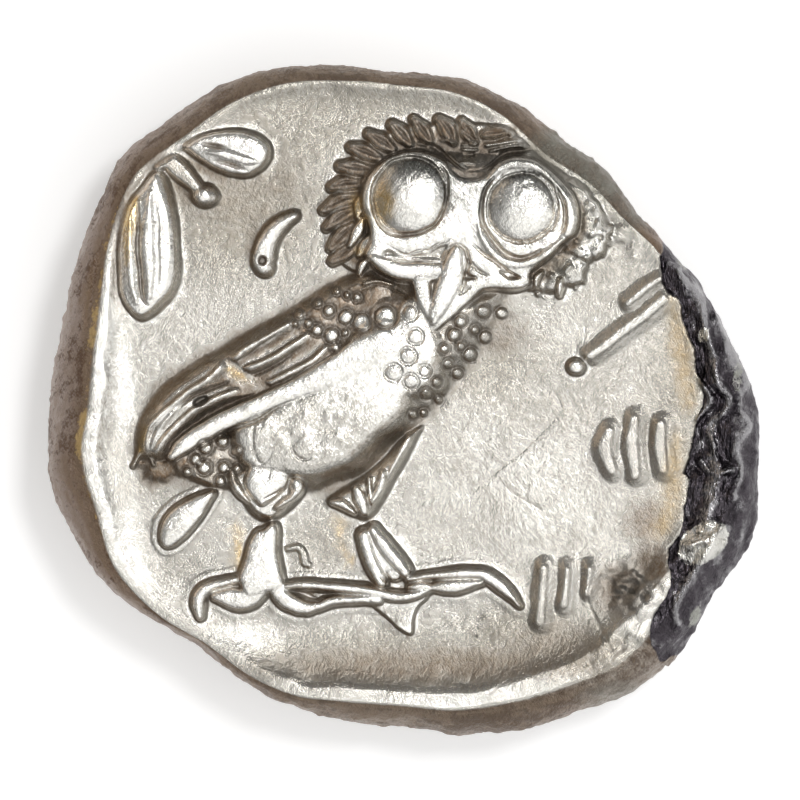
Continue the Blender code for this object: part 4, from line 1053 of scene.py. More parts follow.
def cut_crown(die):
    """The brow feathers, the torn places at the right of the head, and the crown."""
    die.lift(BROW, height=0.22, slope=0.15)
    for points in TUFTS:
        tuft = die.stroke(points)
        die.sink(along_outline(tuft, inset=-0.03, half_width=0.05), depth_below=0.06, reach=0.05)
        die.lift(tuft, height=0.30, slope=0.12, crown=0.12, reach=0.16)
        spine = [(x + 0.02, y + 0.05, 0.42 * half) for x, y, half in points]
        die.engrave((spine,), depth_below=0.12, reach=0.12, dirt=0.32, dirt_reach=0.16)
        die.paint("brown", tuft, amount=0.95, reach=0.1)
        die.paint("tan", tuft, amount=0.95, reach=0.1)
    for outline, height in BROKEN:
        window, depth = die.outline(outline)
        torn = ripples(die.x[window], die.y[window], TORN_RIPPLES)
        die.lift(Shape(window, depth + 0.14 * torn), height, slope=0.30)
        die.height[window] += 0.07 * torn * ease(0.5 + depth / 0.4)
    for x, y, radius in LUMPS:
        die.add(die.oval(x, y, radius, 0.7 * radius, turn=3 * x), height=0.09, reach=radius)
    die.slope(CROWN, height=0.74, reach=1.1)
    die.emboss(CROWN_RIDGES, height=0.16, reach=0.09)
    die.engrave(CROWN_GROOVES, depth_below=0.16, reach=0.07)


def cut_head(die):
    """The owl's face over its brow: ringed eyes, cheeks and beak."""
    face = die.outline(FACE)
    brow = die.outline(BROW)
    die.lift(face, height=HEAD_HEIGHT - 0.06, slope=0.16, crown=0.06, reach=0.2)
    for eye in EYES:
        cut_eye(die, eye)
    die.emboss(EYE_LIDS, height=0.07, reach=0.10)
    die.engrave(EYE_GROOVES, depth_below=0.20, reach=0.05)
    die.emboss((ROLL,), height=0.09, reach=0.24)
    die.emboss((BEAK,), height=0.13, reach=0.22)
    die.emboss((BEAK_SIDE,), height=0.07, reach=0.14)
    cheek_hollow = die.outline(CHEEK_HOLLOW)
    die.sink(cheek_hollow, depth_below=0.13, reach=0.14)
    die.engrave(CHEEK_GROOVES, depth_below=0.14, reach=0.04)
    die.paint("brown", brow, amount=0.95, reach=0.6)
    die.paint("tan", brow, amount=0.85, reach=0.6)
    die.wipe(face, reach=0.15)
    die.paint("tan", cheek_hollow, amount=0.7, reach=0.1)
    for points in BEAK_GAPS:
        gap = die.outline(points)
        die.sink(gap, depth_below=0.20, reach=0.06)
        die.paint("brown", gap, amount=0.9, reach=0.1)
    for points in SLIVERS:
        sliver = die.stroke(points)
        die.lift(sliver, height=0.52, slope=0.12, crown=0.08, reach=0.12)
        die.wipe(sliver, reach=0.05)
    die.paint("soot", CROWN, amount=0.8, reach=0.6)
    for line in CROWN_RIDGES:
        die.wipe(grown(die.stroke(line), -0.02), reach=0.05)
    for name, places in EYE_TONES_AND_SHADE.items():
        die.stain(name, places)


def cut_sprig(die):
    """Two olive leaves, their stem and berry, and the crescent."""
    for line in STEMS:
        die.lift(line, height=0.26, slope=0.16, crown=0.06, reach=0.1)
    for outline, slope in LEAVES:
        die.lift(outline, height=0.48, slope=slope, crown=0.10, reach=0.5)
    die.emboss(LEAF_RIDGES, height=0.09, reach=0.16)
    die.engrave(LEAF_VEINS, depth_below=0.20, reach=0.07, dirt=0.55, dirt_reach=0.08)
    stem = die.stroke(STEMS[1])
    die.paint("tan", stem, amount=0.8, reach=0.2)
    die.paint("brown", stem, amount=0.3, reach=0.2)
    berry = die.oval(*BERRY)
    die.lift(berry, height=0.30, slope=0.22, crown=0.14, reach=0.25)
    die.wipe(berry, reach=0.1)
    die.lift(CRESCENT, height=0.29, slope=0.22, crown=0.06, reach=0.2)
    pit = die.oval(*CRESCENT_PIT)
    die.sink(pit, depth_below=0.20, reach=0.04)
    die.paint("dirt", pit, amount=0.9, reach=0.05)


def cut_field_marks(die):
    """Rows of plain shallow strokes with a pellet, then cracks, scratches, toning, and painted
    shade and sheen on the field.
    """
    for line in FIELD_STROKES:
        die.lift(line, height=0.13, slope=0.30, crown=0.09, reach=0.16)
    die.lift(die.oval(*FIELD_PELLET), height=0.30, slope=0.12, crown=0.08, reach=0.2)
    die.engrave(CRACKS, depth_below=0.10, reach=0.04, dirt=0.6, dirt_reach=0.06)
    die.engrave(SCRATCHES, depth_below=0.06, reach=0.03)
    die.tone(STREAKS)
    low = 1 - ease((die.height - 0.05) / 0.25)
    die.stain("tan", TANNED_AND_SHADED, where=low)
    die.stain("rubbed", RUBBED_AND_SHEEN, where=low)
    die.stain("brown", STAINS_AND_SHADOWS)
    die.stain("gray", GRAYED)
    die.stain("soot", PITTED)


def surface_masks(die, field):
    """Where the metal is worn bright, toned or dirty, with painted shade on the slopes and a
    painted bright halo round the forms, from the relief itself.
    """
    def sheltered(radius, full_depth):
        """How far each place lies below the surface round it, 1 at the full depth."""
        return np.clip((die.soften(die.height, radius) - die.height) / full_depth, 0, 1)

    slope_x, slope_y = np.gradient(die.soften(die.height, 0.03), die.axis[1] - die.axis[0])
    steep = np.hypot(slope_x, slope_y)
    side = ease((steep - 0.30) / 1.1)
    facing_left = slope_x / (steep + TINY)
    raised = np.clip((die.height - field - 0.10) / 0.35, 0, 1)
    laid = {name: die.soften(die.layers[name], fade) for name, fade in LAYERS.items()}
    # A thin band just outside each slope keeps less toning and tan, which draws a painted bright
    # halo line round the relief.
    foot = np.clip(2.5 * (die.soften(side, 0.09) - side), 0, 1) * (1 - raised) * (1 - laid["brown"])
    worn_top = raised * (1 - side) * (1 - ease((laid["tan"] - 0.6) / 0.2))
    groove = 0.7 * sheltered(0.08, 0.05) * (0.25 + 0.75 * side)
    # tone: toning everywhere but the worn high relief, lifted by the rubbed patches, partly painted
    # sheen, and by the painted halo.
    return {"tone": (1 - raised) * (1 - laid["rubbed"]) * (1 - 0.9 * foot),
            # steep: the slope colour on every steep side, partly toning that rubbing missed and
            # partly painted shade.
            "steep": side,
            # warm: painted shade, a browner colour on the slopes that face left, for the darker
            # reflection on that side.
            "warm": side * np.clip(0.7 + 0.9 * facing_left, 0, 1),
            "hollow": np.clip(groove + 0.20 * sheltered(0.5, 0.45) + 1.3 * laid["dirt"], 0, 1),
            "tan": laid["tan"] * (1 - 0.8 * foot),
            "brown": laid["brown"] * np.clip(1.15 - 1.3 * worn_top, 0, 1) * (1 - 0.75 * side),
            "soot": laid["soot"] * np.clip(side + 0.55, 0, 1),
            "gray": laid["gray"],
            "gold": laid["gold"]}


def crust_relief(x, y):
    """The crust's depth inside its outline, its lumpy height, its bare metal and its folds."""
    line = smooth_path(CRUST_LINE, steps=4)
    distance, _ = nearest(x, y, line)
    loop = np.vstack((line, CRUST_CORNERS, line[0]))
    depth = np.where(inside(x, y, loop), distance, -distance) + ripples(x, y, CRUST_RIPPLES)
    warped_x = x + 0.25 * ripple(x, y, 0.8, seed=43)
    along = y + 0.35 * warped_x
    lumps = 0.12 * ripple(warped_x * 2.0, along, 0.75, seed=44)
    lumps += 0.08 * ripple(warped_x * 1.6, along, 0.33, seed=45)
    lumps += 0.035 * ripple(x, y, 0.14, seed=46)
    folded = np.zeros(len(x))
    for fold in CRUST_FOLDS:
        away, half = nearest(warped_x, y, smooth_path(fold, steps=4))
        folded = np.maximum(folded, np.exp(-(away / (half + FOLD_SPREAD)) ** 2))
    height = CRUST_LEVEL + lumps + FOLD_HEIGHT * folded
    bare = np.zeros(len(x))
    for *place, amount in CRUST_BARE:
        patch = amount * cover(x, y, *place)
        bare = np.maximum(bare, patch)
        height += BARE_HEIGHT * patch
    return depth, height, bare, folded


def raise_rim(die):
    """The rim, in which the owl's relief ends all round."""
    angle = np.arctan2(die.y, die.x)
    crest = around(FLAN_RADII, angle) - around(CREST_INSETS, angle)
    inward = crest - (np.hypot(die.x, die.y) + TINY)
    flat = around(RIM_FLATS, angle) + 0.08 * ripple(die.x, die.y, 0.8, seed=12)
    foot = RIM_FOOT[0] + RIM_FOOT[1] * np.clip(-np.sin(angle), 0, 1)
    rim = RIM_HEIGHT * around(RIM_SHARES, angle) * (1 - np.clip((inward - flat) / foot, 0, 1)) ** 3
    rim *= 1 + ripples(die.x, die.y, RIM_RIPPLES)
    die.height *= ease(inward / RIM_FADE)
    die.height = np.maximum(die.height, rim) + 0.5 * np.minimum(die.height, rim)


def cut_owl_die():
    """The owl side complete, as levels above the surface that the coin lies on."""
    die = Die()
    for cut in (cut_body, cut_wing, cut_feathers, cut_legs, cut_crown, cut_head, cut_sprig,
                cut_field_marks, raise_rim):
        cut(die)
    die.height += ripples(die.x, die.y, OWL_RIPPLES)
    from_bulge = die.y - BULGE_MIDDLE - BULGE_LEAN * die.x
    die.height += BULGE_HEIGHT * np.cos(from_bulge * np.pi / BULGE_LENGTH)
    rough = ripples(die.x, die.y, ROUGH_RIPPLES)
    for *place, depth in ROUGH_PLACES:
        die.height += depth * cover(die.x, die.y, *place) * rough
    die.height = OWL_FIELD_Z + die.soften(die.height, SOFTENING)
    return die


# ---- Cutting the head's die ----

def on_crest(turn, radius):
    """A point beside the crest's middle line, by its angle and its distance from the centre."""
    middle_x, middle_y = CREST_MIDDLE
    return middle_x + radius * np.cos(turn), middle_y + radius * np.sin(turn)


def cut_crest(die):
    """The helmet's crest: a curved band of upright hairs."""
    turns = np.linspace(*CREST_SPAN, CREST_JOINTS)
    widths = np.linspace(*CREST_WIDTHS, CREST_JOINTS)
    middle = np.column_stack((*on_crest(turns, CREST_RADIUS), widths))
    die.lift(middle, height=0.50, slope=0.35, crown=0.12, reach=0.5)
    inner, outer = (CREST_RADIUS + end for end in HAIR_ENDS)
    hairs = [((*on_crest(turn, inner), HAIR_HALF_WIDTH),
              (*on_crest(turn + HAIR_LEAN, outer), HAIR_HALF_WIDTH))
             for turn in np.linspace(*CREST_SPAN, CREST_HAIRS)[1:-1]]
    die.engrave(hairs, depth_below=0.16, reach=0.08)


def cut_face(die):
    """Neck, face, ear, hair and necklace."""
    die.slope(NECK, height=0.60, reach=1.0)
    die.slope(HEAD, height=0.86, reach=0.9)
    die.add(die.oval(*CHEEK), height=0.10, reach=1.3)
    die.add(die.oval(*CHIN), height=0.06, reach=0.35)
    die.sink(die.oval(*SOCKET), depth_below=0.14, reach=0.30)
    die.add(die.oval(*EYEBALL), height=0.14, reach=0.2)
    die.emboss(PROFILE_LINES, height=0.13, reach=0.09)
    die.engrave((MOUTH,), depth_below=0.12, reach=0.06)
    die.add(die.oval(*NOSTRIL), height=0.10, reach=0.18)
    die.emboss(HAIR, height=0.20, reach=0.20)
    for run, count, size in CURLS:
        path = smooth_path(run, steps=count)
        for x, y, _ in path[::len(path) // count]:
            die.add(die.oval(x, y, size), height=0.14, reach=size)
    die.emboss((EAR,), height=0.14, reach=0.12)
    die.add(die.oval(*EARRING), height=0.14, reach=0.12)
    die.sink(die.oval(*EARRING_HOLE), depth_below=0.08, reach=0.08)
    for x, y in NECKLACE:
        die.add(die.oval(x, y, BEAD_RADIUS), height=0.16, reach=0.22)


def cut_helmet(die):
    """The helmet's bowl with its rim, three leaves and a scroll."""
    window, depth = die.outline(BOWL)
    bowl = 0.80 + 0.26 * ease(depth / 2.6)
    over = ease(depth / 0.12 + 0.5)
    die.height[window] += (np.maximum(bowl, die.height[window]) - die.height[window]) * over
    die.emboss((BOWL_RIM, *HELMET_LEAVES, *SCROLL), height=0.12, reach=0.10)
    veins = [[(x, y, 0.015) for x, y, _ in leaf] for leaf in HELMET_LEAVES]
    die.engrave(veins, depth_below=0.06, reach=0.05)


def cut_head_die():
    """A helmeted head in profile, as levels above its field."""
    die = Die()
    cut_crest(die)
    cut_face(die)
    cut_helmet(die)
    die.height += ripples(die.x, die.y, HEAD_RIPPLES)
    die.height = die.soften(die.height, HEAD_SOFTENING)
    return die


# ---- Mesh helpers ----

def deselect_all():
    """Leaves nothing selected and nothing active."""
    for item in bpy.context.view_layer.objects:
        item.select_set(False)
    bpy.context.view_layer.objects.active = None


def read_points(mesh):
    """The mesh's vertices as an array of rows."""
    points = np.empty(len(mesh.vertices) * 3, np.float32)
    mesh.vertices.foreach_get("co", points)
    return points.reshape(-1, 3).astype(float)


def write_points(mesh, points):
    """Puts the mesh's vertices at the rows of an array."""
    mesh.vertices.foreach_set("co", points.astype(np.float32).ravel())
    mesh.update()


def store(mesh, name, values):
    """Keeps one number per point under a name that the material reads."""
    attribute = mesh.attributes.get(name) or mesh.attributes.new(name, "FLOAT", "POINT")
    attribute.data.foreach_set("value", np.asarray(values, np.float32))


def square_to_disc(u, v):
    """Angle and share of the radius for a square's points, with even spacing all over."""
    flat = np.abs(u) > np.abs(v)
    share = np.where(flat, u, v)
    ratio = np.divide(np.where(flat, v, u), share, out=np.zeros_like(share), where=share != 0)
    angle = np.where(flat, ratio * np.pi / 4, np.pi / 2 - ratio * np.pi / 4)
    return np.where(share < 0, angle + np.pi, angle), np.abs(share)


# ---- Shader expressions ----

class Wire:
    """One output of a node. Sums written with it become Math nodes."""

    def __init__(self, tree, socket=None):
        self.tree = tree
        self.socket = socket

    def node(self, kind, settings=None, inputs=None, output=0):
        """Adds any node, with its settings and the values or wires of its inputs."""
        node = self.tree.nodes.new(kind)
        for name, value in (settings or {}).items():
            setattr(node, name, value)
        for name, value in (inputs or {}).items():
            if isinstance(value, Wire):
                self.tree.links.new(value.socket, node.inputs[name])
            else:
                node.inputs[name].default_value = value
        return Wire(self.tree, node.outputs[output])

    def math(self, operation, *values):
        """A Math node's result."""
        return self.node("ShaderNodeMath", {"operation": operation}, dict(enumerate(values)))

    def __add__(self, other):
        return self.math("ADD", self, other)

    def __sub__(self, other):
        return self.math("SUBTRACT", self, other)

    def __rsub__(self, other):
        return self.math("SUBTRACT", other, self)

    def __mul__(self, other):
        return self.math("MULTIPLY", self, other)

    __radd__ = __add__
    __rmul__ = __mul__

    def attribute(self, name):
        """A number kept at every point of the mesh."""
        return self.node("ShaderNodeAttribute", {"attribute_name": name}, output=2)

    def step(self, low, high, bottom=0.0, top=1.0):
        """Eases from bottom to top while the value goes from low to high."""
        return self.node("ShaderNodeMapRange", {"interpolation_type": "SMOOTHSTEP"},
                         {"Value": self, "From Min": low, "From Max": high,
                          "To Min": bottom, "To Max": top})

    def mix(self, start, end):
        """The colour between two, by this value."""
        return self.node("ShaderNodeMix", {"data_type": "RGBA"}, {0: self, 6: start, 7: end},
                         output=2)


# ---- Silver, its toning and the black crust ----

def silver_material(finish):
    """Struck silver: bright where hands wore it, toned in the hollows, black crust at one side."""
    material = bpy.data.materials.new("worn silver")
    material.use_nodes = True
    tree = material.node_tree
    start = Wire(tree)
    attribute = start.attribute
    place = start.node("ShaderNodeTexCoord", output=3)
    mm = start.node("ShaderNodeMapping", None, {"Vector": place, "Scale": (1 / MM,) * 3})

    def tint(name):
        """A colour from the settings."""
        return (*getattr(finish, name), 1.0)

    def noise(scale, detail=3.0, roughness=0.55, vector=mm):
        """Soft noise on both sides of 0."""
        return start.node("ShaderNodeTexNoise", None,
                          {"Vector": vector, "Scale": scale, "Detail": detail,
                           "Roughness": roughness}) - 0.5

    def brushed(turn, across, along, detail=2.0):
        """Noise drawn out along the direction a quarter turn on from turn."""
        laid = start.node("ShaderNodeMapping", {"vector_type": "TEXTURE"},
                          {"Vector": mm, "Rotation": (0, 0, turn),
                           "Scale": (1 / across, 1 / along, 1)})
        return noise(1.0, detail, 0.6, laid)

    def hairlines(turn, across, along):
        """Thin long lines, 1 in them and 0 between."""
        return brushed(turn, across, along, 1.0).math("ABSOLUTE").step(0.0, 0.035, 1.0, 0.0)

    tone, edge, crust = (attribute(name) for name in ("tone", "edge", "crust"))
    drop, gray, streak = (attribute(name) for name in ("drop", "gray", "streak"))
    cloud = noise(0.5, 4.0)
    mottle = noise(2.4, 5.0, 0.65)
    grain = (brushed(-0.6, 16.0, 5.2) + brushed(0.5, 21.0, 8.0)) * 0.5
    speck = noise(26.0, 2.0, 0.6)
    worms = noise(4.6, 2.0, 0.5).math("ABSOLUTE") * -2.0 + 1.0
    lines = hairlines(0.6, 9.0, 0.5) + hairlines(-0.9, 11.0, 0.6) + hairlines(1.9, 8.0, 0.4)

    # The struck sides: toning, then what lies over it, as (attribute, strength, colour). Besides
    # real toning and dirt these carry painted shade: steep and warm on the slopes, and parts of
    # tan, brown, gold and soot.
    worn = (1.0 - tone + mottle * 0.5).step(0.15, 0.75)
    stir = 1.0 + mottle * 1.2 + grain * 1.8
    skin = worn.mix(tint("toning"), tint("silver"))
    skin = (grain * 2.2 + mottle * 1.2 + 0.12).mix(skin, tint("slope"))
    skin = ((cloud + 0.08) * 0.8).mix(skin, tint("tan"))
    for name, strength, over in (("tan", 0.72, "tan"), ("steep", 0.14, "slope"),
                                 ("warm", 0.52, "warm"), ("brown", 0.90, "brown"),
                                 ("gold", 0.75, "gold"), ("soot", 0.85, "soot"),
                                 ("hollow", 0.56, "soil")):
        skin = (attribute(name) * stir * strength).mix(skin, tint(over))

    # The hammered edge, rusty in patches, with a golden line under the rim.
    side = (edge + mottle * 0.5 + grain * 0.4).step(0.2, 0.8)
    outer = (drop + streak * 0.22 + mottle * 0.5).step(0.20, 0.95)
    rust = mottle + cloud * 0.9 + grain * 1.2 + streak * 0.16 + gray * 0.3
    hammered = outer.mix(tint("dull"), tint("edge"))
    hammered = (rust.step(-0.06, 0.26) * 0.9).mix(hammered, tint("rust"))
    gilt = (attribute("gilt") + streak * 0.3 + grain * 1.6 + mottle * 2.4).step(0.60, 1.0)
    skin = (side * 0.95).mix(skin, (gilt * 0.8).mix(hammered, tint("gold")))
    skin = (gray * stir * 0.8).mix(skin, tint("gray"))

    # The crust: black, paler in patches and paler still along its folds, partly wear and partly a
    # painted highlight on the fold crests; bare metal shows in patches.
    tarnish = (noise(1.6, 3.0) + mottle * 0.5).step(0.02, 0.32)
    ridge = (attribute("fold") + mottle * 1.4 + grain * 0.8).step(0.50, 0.95)
    aged = (drop + mottle * 1.6 + cloud).step(0.15, 0.75)
    patch = (attribute("bare") + grain * 0.7 + mottle * 0.5).step(0.45, 0.60)
    black = tarnish.mix(tint("crust"), tint("crust_pale_and_highlight"))
    black = (ridge * 0.85).mix(black, tint("crust_pale_and_highlight"))
    black = patch.mix(black, aged.mix(tint("silver"), tint("patina")))
    covered = (crust + grain * 0.3).step(0.45, 0.55)

    dark = attribute("hollow") + attribute("brown") * 0.6
    metal = 1.0 - dark * 0.20
    rough = 0.20 + tone * 0.06 + dark * 0.22 + mottle * 0.12 + side * 0.15 - covered * 0.06

    fine = worms * 0.008 + grain * 0.027 + speck * 0.008 + lines * -0.010
    flow = start.node("ShaderNodeMapping", None,
                      {"Vector": mm, "Rotation": (0, 0, -0.2), "Scale": (2.2, 0.8, 1.0)})
    coarse = mottle * (0.05 + side * 0.20) + grain * side * 0.05
    coarse = coarse + noise(1.0, 4.0, 0.6, flow) * covered * 0.45
    relief = fine * finish.grain * (0.6 + tone * 0.4 + side - covered * 0.7) + coarse
    bump = start.node("ShaderNodeBump", None, {"Height": relief, "Distance": MM, "Strength": 1.0})

    shader = tree.nodes["Principled BSDF"]
    for name, wire in (("Base Color", covered.mix(skin, black)), ("Metallic", metal),
                       ("Roughness", rough), ("Normal", bump)):
        tree.links.new(wire.socket, shader.inputs[name])
    return material


# ---- Settings ----

COLOUR = {"subtype": "COLOR", "min": 0.0, "max": 1.0}
POWER = {"subtype": "POWER", "unit": "POWER"}
LENGTH = {"subtype": "DISTANCE", "unit": "LENGTH"}


class FlanSettings(bpy.types.PropertyGroup):
    """Size of the blank and how finely it is cut."""

    columns: bpy.props.IntProperty(
        name="Columns", description="Squares across each struck side before thinning",
        default=560, min=60)
    edge_rows: bpy.props.IntProperty(
        name="Edge rows", description="Rows of faces round the edge", default=36, min=4)
    triangles: bpy.props.IntProperty(
        name="Triangles", description="Faces that the finished coin keeps", default=194000)
    edge_wear: bpy.props.FloatProperty(
        name="Edge wear", description="How uneven the hammered edge is, in millimetres",
        default=0.10, min=0.0)


class FinishSettings(bpy.types.PropertyGroup):
    """Colours of the metal and of what has settled on it."""

    # Also painted sheen, where rubbed patches brighten the field and in the halo round the forms.
    silver: bpy.props.FloatVectorProperty(
        name="Silver", description="Bare metal where it is rubbed bright",
        default=(0.87, 0.855, 0.805), **COLOUR)
    toning: bpy.props.FloatVectorProperty(
        name="Toning", description="Metal with its thin gray-brown toning",
        default=(0.50, 0.485, 0.445), **COLOUR)
    # Also painted shade where broad tan ovals darken the field at the top, the upper left and along
    # the bottom rim.
    tan: bpy.props.FloatVectorProperty(
        name="Tan", description="Warmer toning over whole areas",
        default=(0.28, 0.257, 0.215), **COLOUR)
    # Partly toning that rubbing missed and partly painted shade: the colour laid on every slope.
    slope: bpy.props.FloatVectorProperty(
        name="Slopes", description="Grayer toning on the slopes, out of reach of rubbing",
        default=(0.42, 0.385, 0.335), **COLOUR)
    # Painted shade: the browner colour of the slopes that face left, for the darker reflection on
    # that side.
    warm: bpy.props.FloatVectorProperty(
        name="Warm slopes", description="Browner toning on the slopes that face left",
        default=(0.36, 0.25, 0.155), **COLOUR)
    # Also painted shade: the shadow below the strokes beside the crust, and under the right eye.
    brown: bpy.props.FloatVectorProperty(
        name="Brown", description="Thick brown patina", default=(0.165, 0.115, 0.074), **COLOUR)
    # Also the painted dark reflection on the tops of the eyeballs and the painted shade on the
    # bridge between them.
    soot: bpy.props.FloatVectorProperty(
        name="Soot", description="Gray-black patina over the owl's brow",
        default=(0.13, 0.13, 0.12), **COLOUR)
    gray: bpy.props.FloatVectorProperty(
        name="Gray", description="Gray skin over corroded places",
        default=(0.235, 0.225, 0.19), **COLOUR)
    soil: bpy.props.FloatVectorProperty(
        name="Soil", description="Dark deposit in the hollows",
        default=(0.09, 0.068, 0.05), **COLOUR)
    # Also the painted warm reflection on the left eye's left side.
    gold: bpy.props.FloatVectorProperty(
        name="Golden toning", description="Yellow toning beside the rim and the leaves",
        default=(0.58, 0.41, 0.18), **COLOUR)
    edge: bpy.props.FloatVectorProperty(
        name="Edge", description="Taupe toning round the edge",
        default=(0.35, 0.285, 0.25), **COLOUR)
    dull: bpy.props.FloatVectorProperty(
        name="Edge near the rim", description="Brown metal of the edge close under the rim",
        default=(0.22, 0.152, 0.103), **COLOUR)
    rust: bpy.props.FloatVectorProperty(
        name="Edge, dark", description="Brown-black patches round the edge",
        default=(0.105, 0.058, 0.034), **COLOUR)
    crust: bpy.props.FloatVectorProperty(
        name="Crust", description="Black tarnish crust", default=(0.085, 0.075, 0.085), **COLOUR)
    # Paler crust, and the painted highlight along the crust's fold crests.
    crust_pale_and_highlight: bpy.props.FloatVectorProperty(
        name="Crust, light", description="Paler parts of the crust",
        default=(0.42, 0.41, 0.42), **COLOUR)
    patina: bpy.props.FloatVectorProperty(
        name="Patina", description="Gray-green skin on the bare places beside the crust",
        default=(0.36, 0.36, 0.325), **COLOUR)
    grain: bpy.props.FloatProperty(
        name="Grain", description="Strength of the surface's fine grain", default=1.0, min=0.0)


class StageSettings(bpy.types.PropertyGroup):
    """Floor, light and camera."""

    view_width: bpy.props.FloatProperty(
        name="Width in view", description="What the camera sees across, at the coin",
        default=0.0279, **LENGTH)
    camera_height: bpy.props.FloatProperty(
        name="Camera height", description="Camera above the coin", default=0.35, **LENGTH)
    floor_colour: bpy.props.FloatVectorProperty(
        name="Floor", description="Colour of the floor", default=(0.93, 0.93, 0.93), **COLOUR)
    softbox_power: bpy.props.FloatProperty(
        name="Softbox", description="Strength of the large light overhead", default=1.60, **POWER)
    lamp_power: bpy.props.FloatProperty(
        name="Lamp", description="Strength of the small light that draws the shadow",
        default=0.60, **POWER)
    fill_power: bpy.props.FloatProperty(
        name="Fill", description="Strength of the soft light low at the right",
        default=0.42, **POWER)
    reflector_power: bpy.props.FloatProperty(
        name="Reflector", description="Strength of the warm reflector low at the left",
        default=0.34, **POWER)
    reflector_colour: bpy.props.FloatVectorProperty(
        name="Reflector's colour", description="Tint of the warm reflector",
        default=(1.0, 0.80, 0.60), **COLOUR)
    sky: bpy.props.FloatProperty(
        name="Sky", description="Strength of the even light from all round", default=0.29)
    glow: bpy.props.FloatProperty(
        name="Floor's glow", description="Light given by the white floor itself", default=0.31)


# ---- The edge, the floor and the lights ----

def edge_radii(angle, level, turn, inner, outer, wear):
    """The edge's distance from the middle: bulging out to the flan's plan, and hammered."""
    rough = ripples(angle * MEAN_RADIUS, level * EDGE_HALF_HEIGHT + 9, HAMMER_RIPPLES)
    return inner + (outer - inner) * np.sin(turn) - wear * (rough + 0.6) * np.sin(turn)


def edge_finish(angle, level, turn, on_edge):
    """What the material reads on the edge, by attribute name."""
    round_edge = angle * MEAN_RADIUS
    streak = ripple(round_edge * 0.5, level * 9 + 20, 0.6, seed=9)
    streak += 0.6 * ripple(round_edge, level * 16 + 40, 0.5, seed=10)
    off_corner = 2 * (1 - np.cos(angle - POLISHED_CORNER))
    polished = 1 - POLISH * np.exp(-off_corner / POLISHED_WIDTH ** 2)
    edge = np.clip(np.sin(turn) * 7 - 0.3, 0, 1) * polished
    along_left = np.clip(1.5 - 2.2 * np.abs(angle - GILT_MIDDLE), 0, 1)
    gilt = along_left * np.clip(1.1 - 6 * np.abs(np.sin(turn) - 0.18), 0, 1)
    upper = turn < np.pi / 2
    return {"edge": np.where(on_edge, edge, 0), "streak": streak,
            "gilt": np.where(on_edge & upper, gilt, 0),
            "drop": np.where(upper, np.sin(turn), 1) * (1 - 0.5 * fouled(angle))}


def fouled(angle):
    """How much grime the edge has kept: most at the top and the bottom, none at the sides."""
    return np.clip(2 * np.abs(np.sin(angle)) - 1, 0, 1)


def add_floor(stage):
    """The white paper under the coin."""
    bpy.ops.mesh.primitive_plane_add(size=FLOOR_SIZE, location=(0, 0, -FLOOR_DROP))
    floor = bpy.context.object
    floor.name = "floor"
    paper = bpy.data.materials.new("white paper")
    paper.use_nodes = True
    shader = paper.node_tree.nodes["Principled BSDF"]
    for name, value in (("Base Color", (*stage.floor_colour, 1.0)), ("Roughness", FLOOR_ROUGHNESS),
                        ("Emission Color", (1, 1, 1, 1)), ("Emission Strength", stage.glow)):
        shader.inputs[name].default_value = value
    floor.data.materials.append(paper)
    return floor


def hang_light(name, power, colour=(1, 1, 1)):
    """One round light that faces the coin."""
    diameter, place = LIGHTS[name]
    light = bpy.data.lights.new(name, "AREA")
    light.shape = "DISK"
    light.size = diameter
    light.color = colour
    light.energy = power
    hung = bpy.data.objects.new(name, light)
    bpy.context.scene.collection.objects.link(hung)
    hung.location = place
    hung.rotation_euler = (-hung.location).to_track_quat("-Z", "Y").to_euler()
    return hung


def set_camera(stage):
    """The camera, straight above the coin."""
    middle = (NODE_LOW + NODE_HIGH) / 2
    data = bpy.data.cameras.new("camera")
    camera = bpy.data.objects.new("camera", data)
    bpy.context.scene.collection.objects.link(camera)
    camera.location = (middle.x - CAMERA_SHIFT, middle.y, middle.z + stage.camera_height)
    data.lens = data.sensor_width * stage.camera_height / stage.view_width
    data.clip_start, data.clip_end = CAMERA_RANGE
    bpy.context.scene.camera = camera


# ---- Operators ----

class COIN_OT_blank(bpy.types.Operator):
    """Add the flan: two fine grids joined by rows of faces round the edge"""
    bl_idname = "coin.blank"
    bl_label = "Flan"

    def execute(self, context):
        flan = context.scene.coin_flan
        deselect_all()
        # The owl's side lies at level 1 and the head's at -1 until they are struck.
        bpy.ops.mesh.primitive_grid_add(x_subdivisions=flan.columns, y_subdivisions=flan.columns,
                                        size=2, location=(0, 0, 1))
        blank = context.object
        bpy.ops.object.duplicate()
        context.object.location.z = -1
        blank.select_set(True)
        context.view_layer.objects.active = blank
        bpy.ops.object.join()
        bpy.ops.object.transform_apply(location=True)
        bpy.ops.object.mode_set(mode="EDIT")
        bpy.ops.mesh.select_all(action="DESELECT")
        bpy.ops.mesh.select_mode(type="EDGE")
        bpy.ops.mesh.select_non_manifold()
        bpy.ops.mesh.bridge_edge_loops(number_cuts=flan.edge_rows, interpolation="LINEAR")
        bpy.ops.mesh.select_all(action="SELECT")
        bpy.ops.mesh.normals_make_consistent(inside=False)
        bpy.ops.object.mode_set(mode="OBJECT")
        blank.name = PIECE
        blank.data.name = PIECE
        return {"FINISHED"}


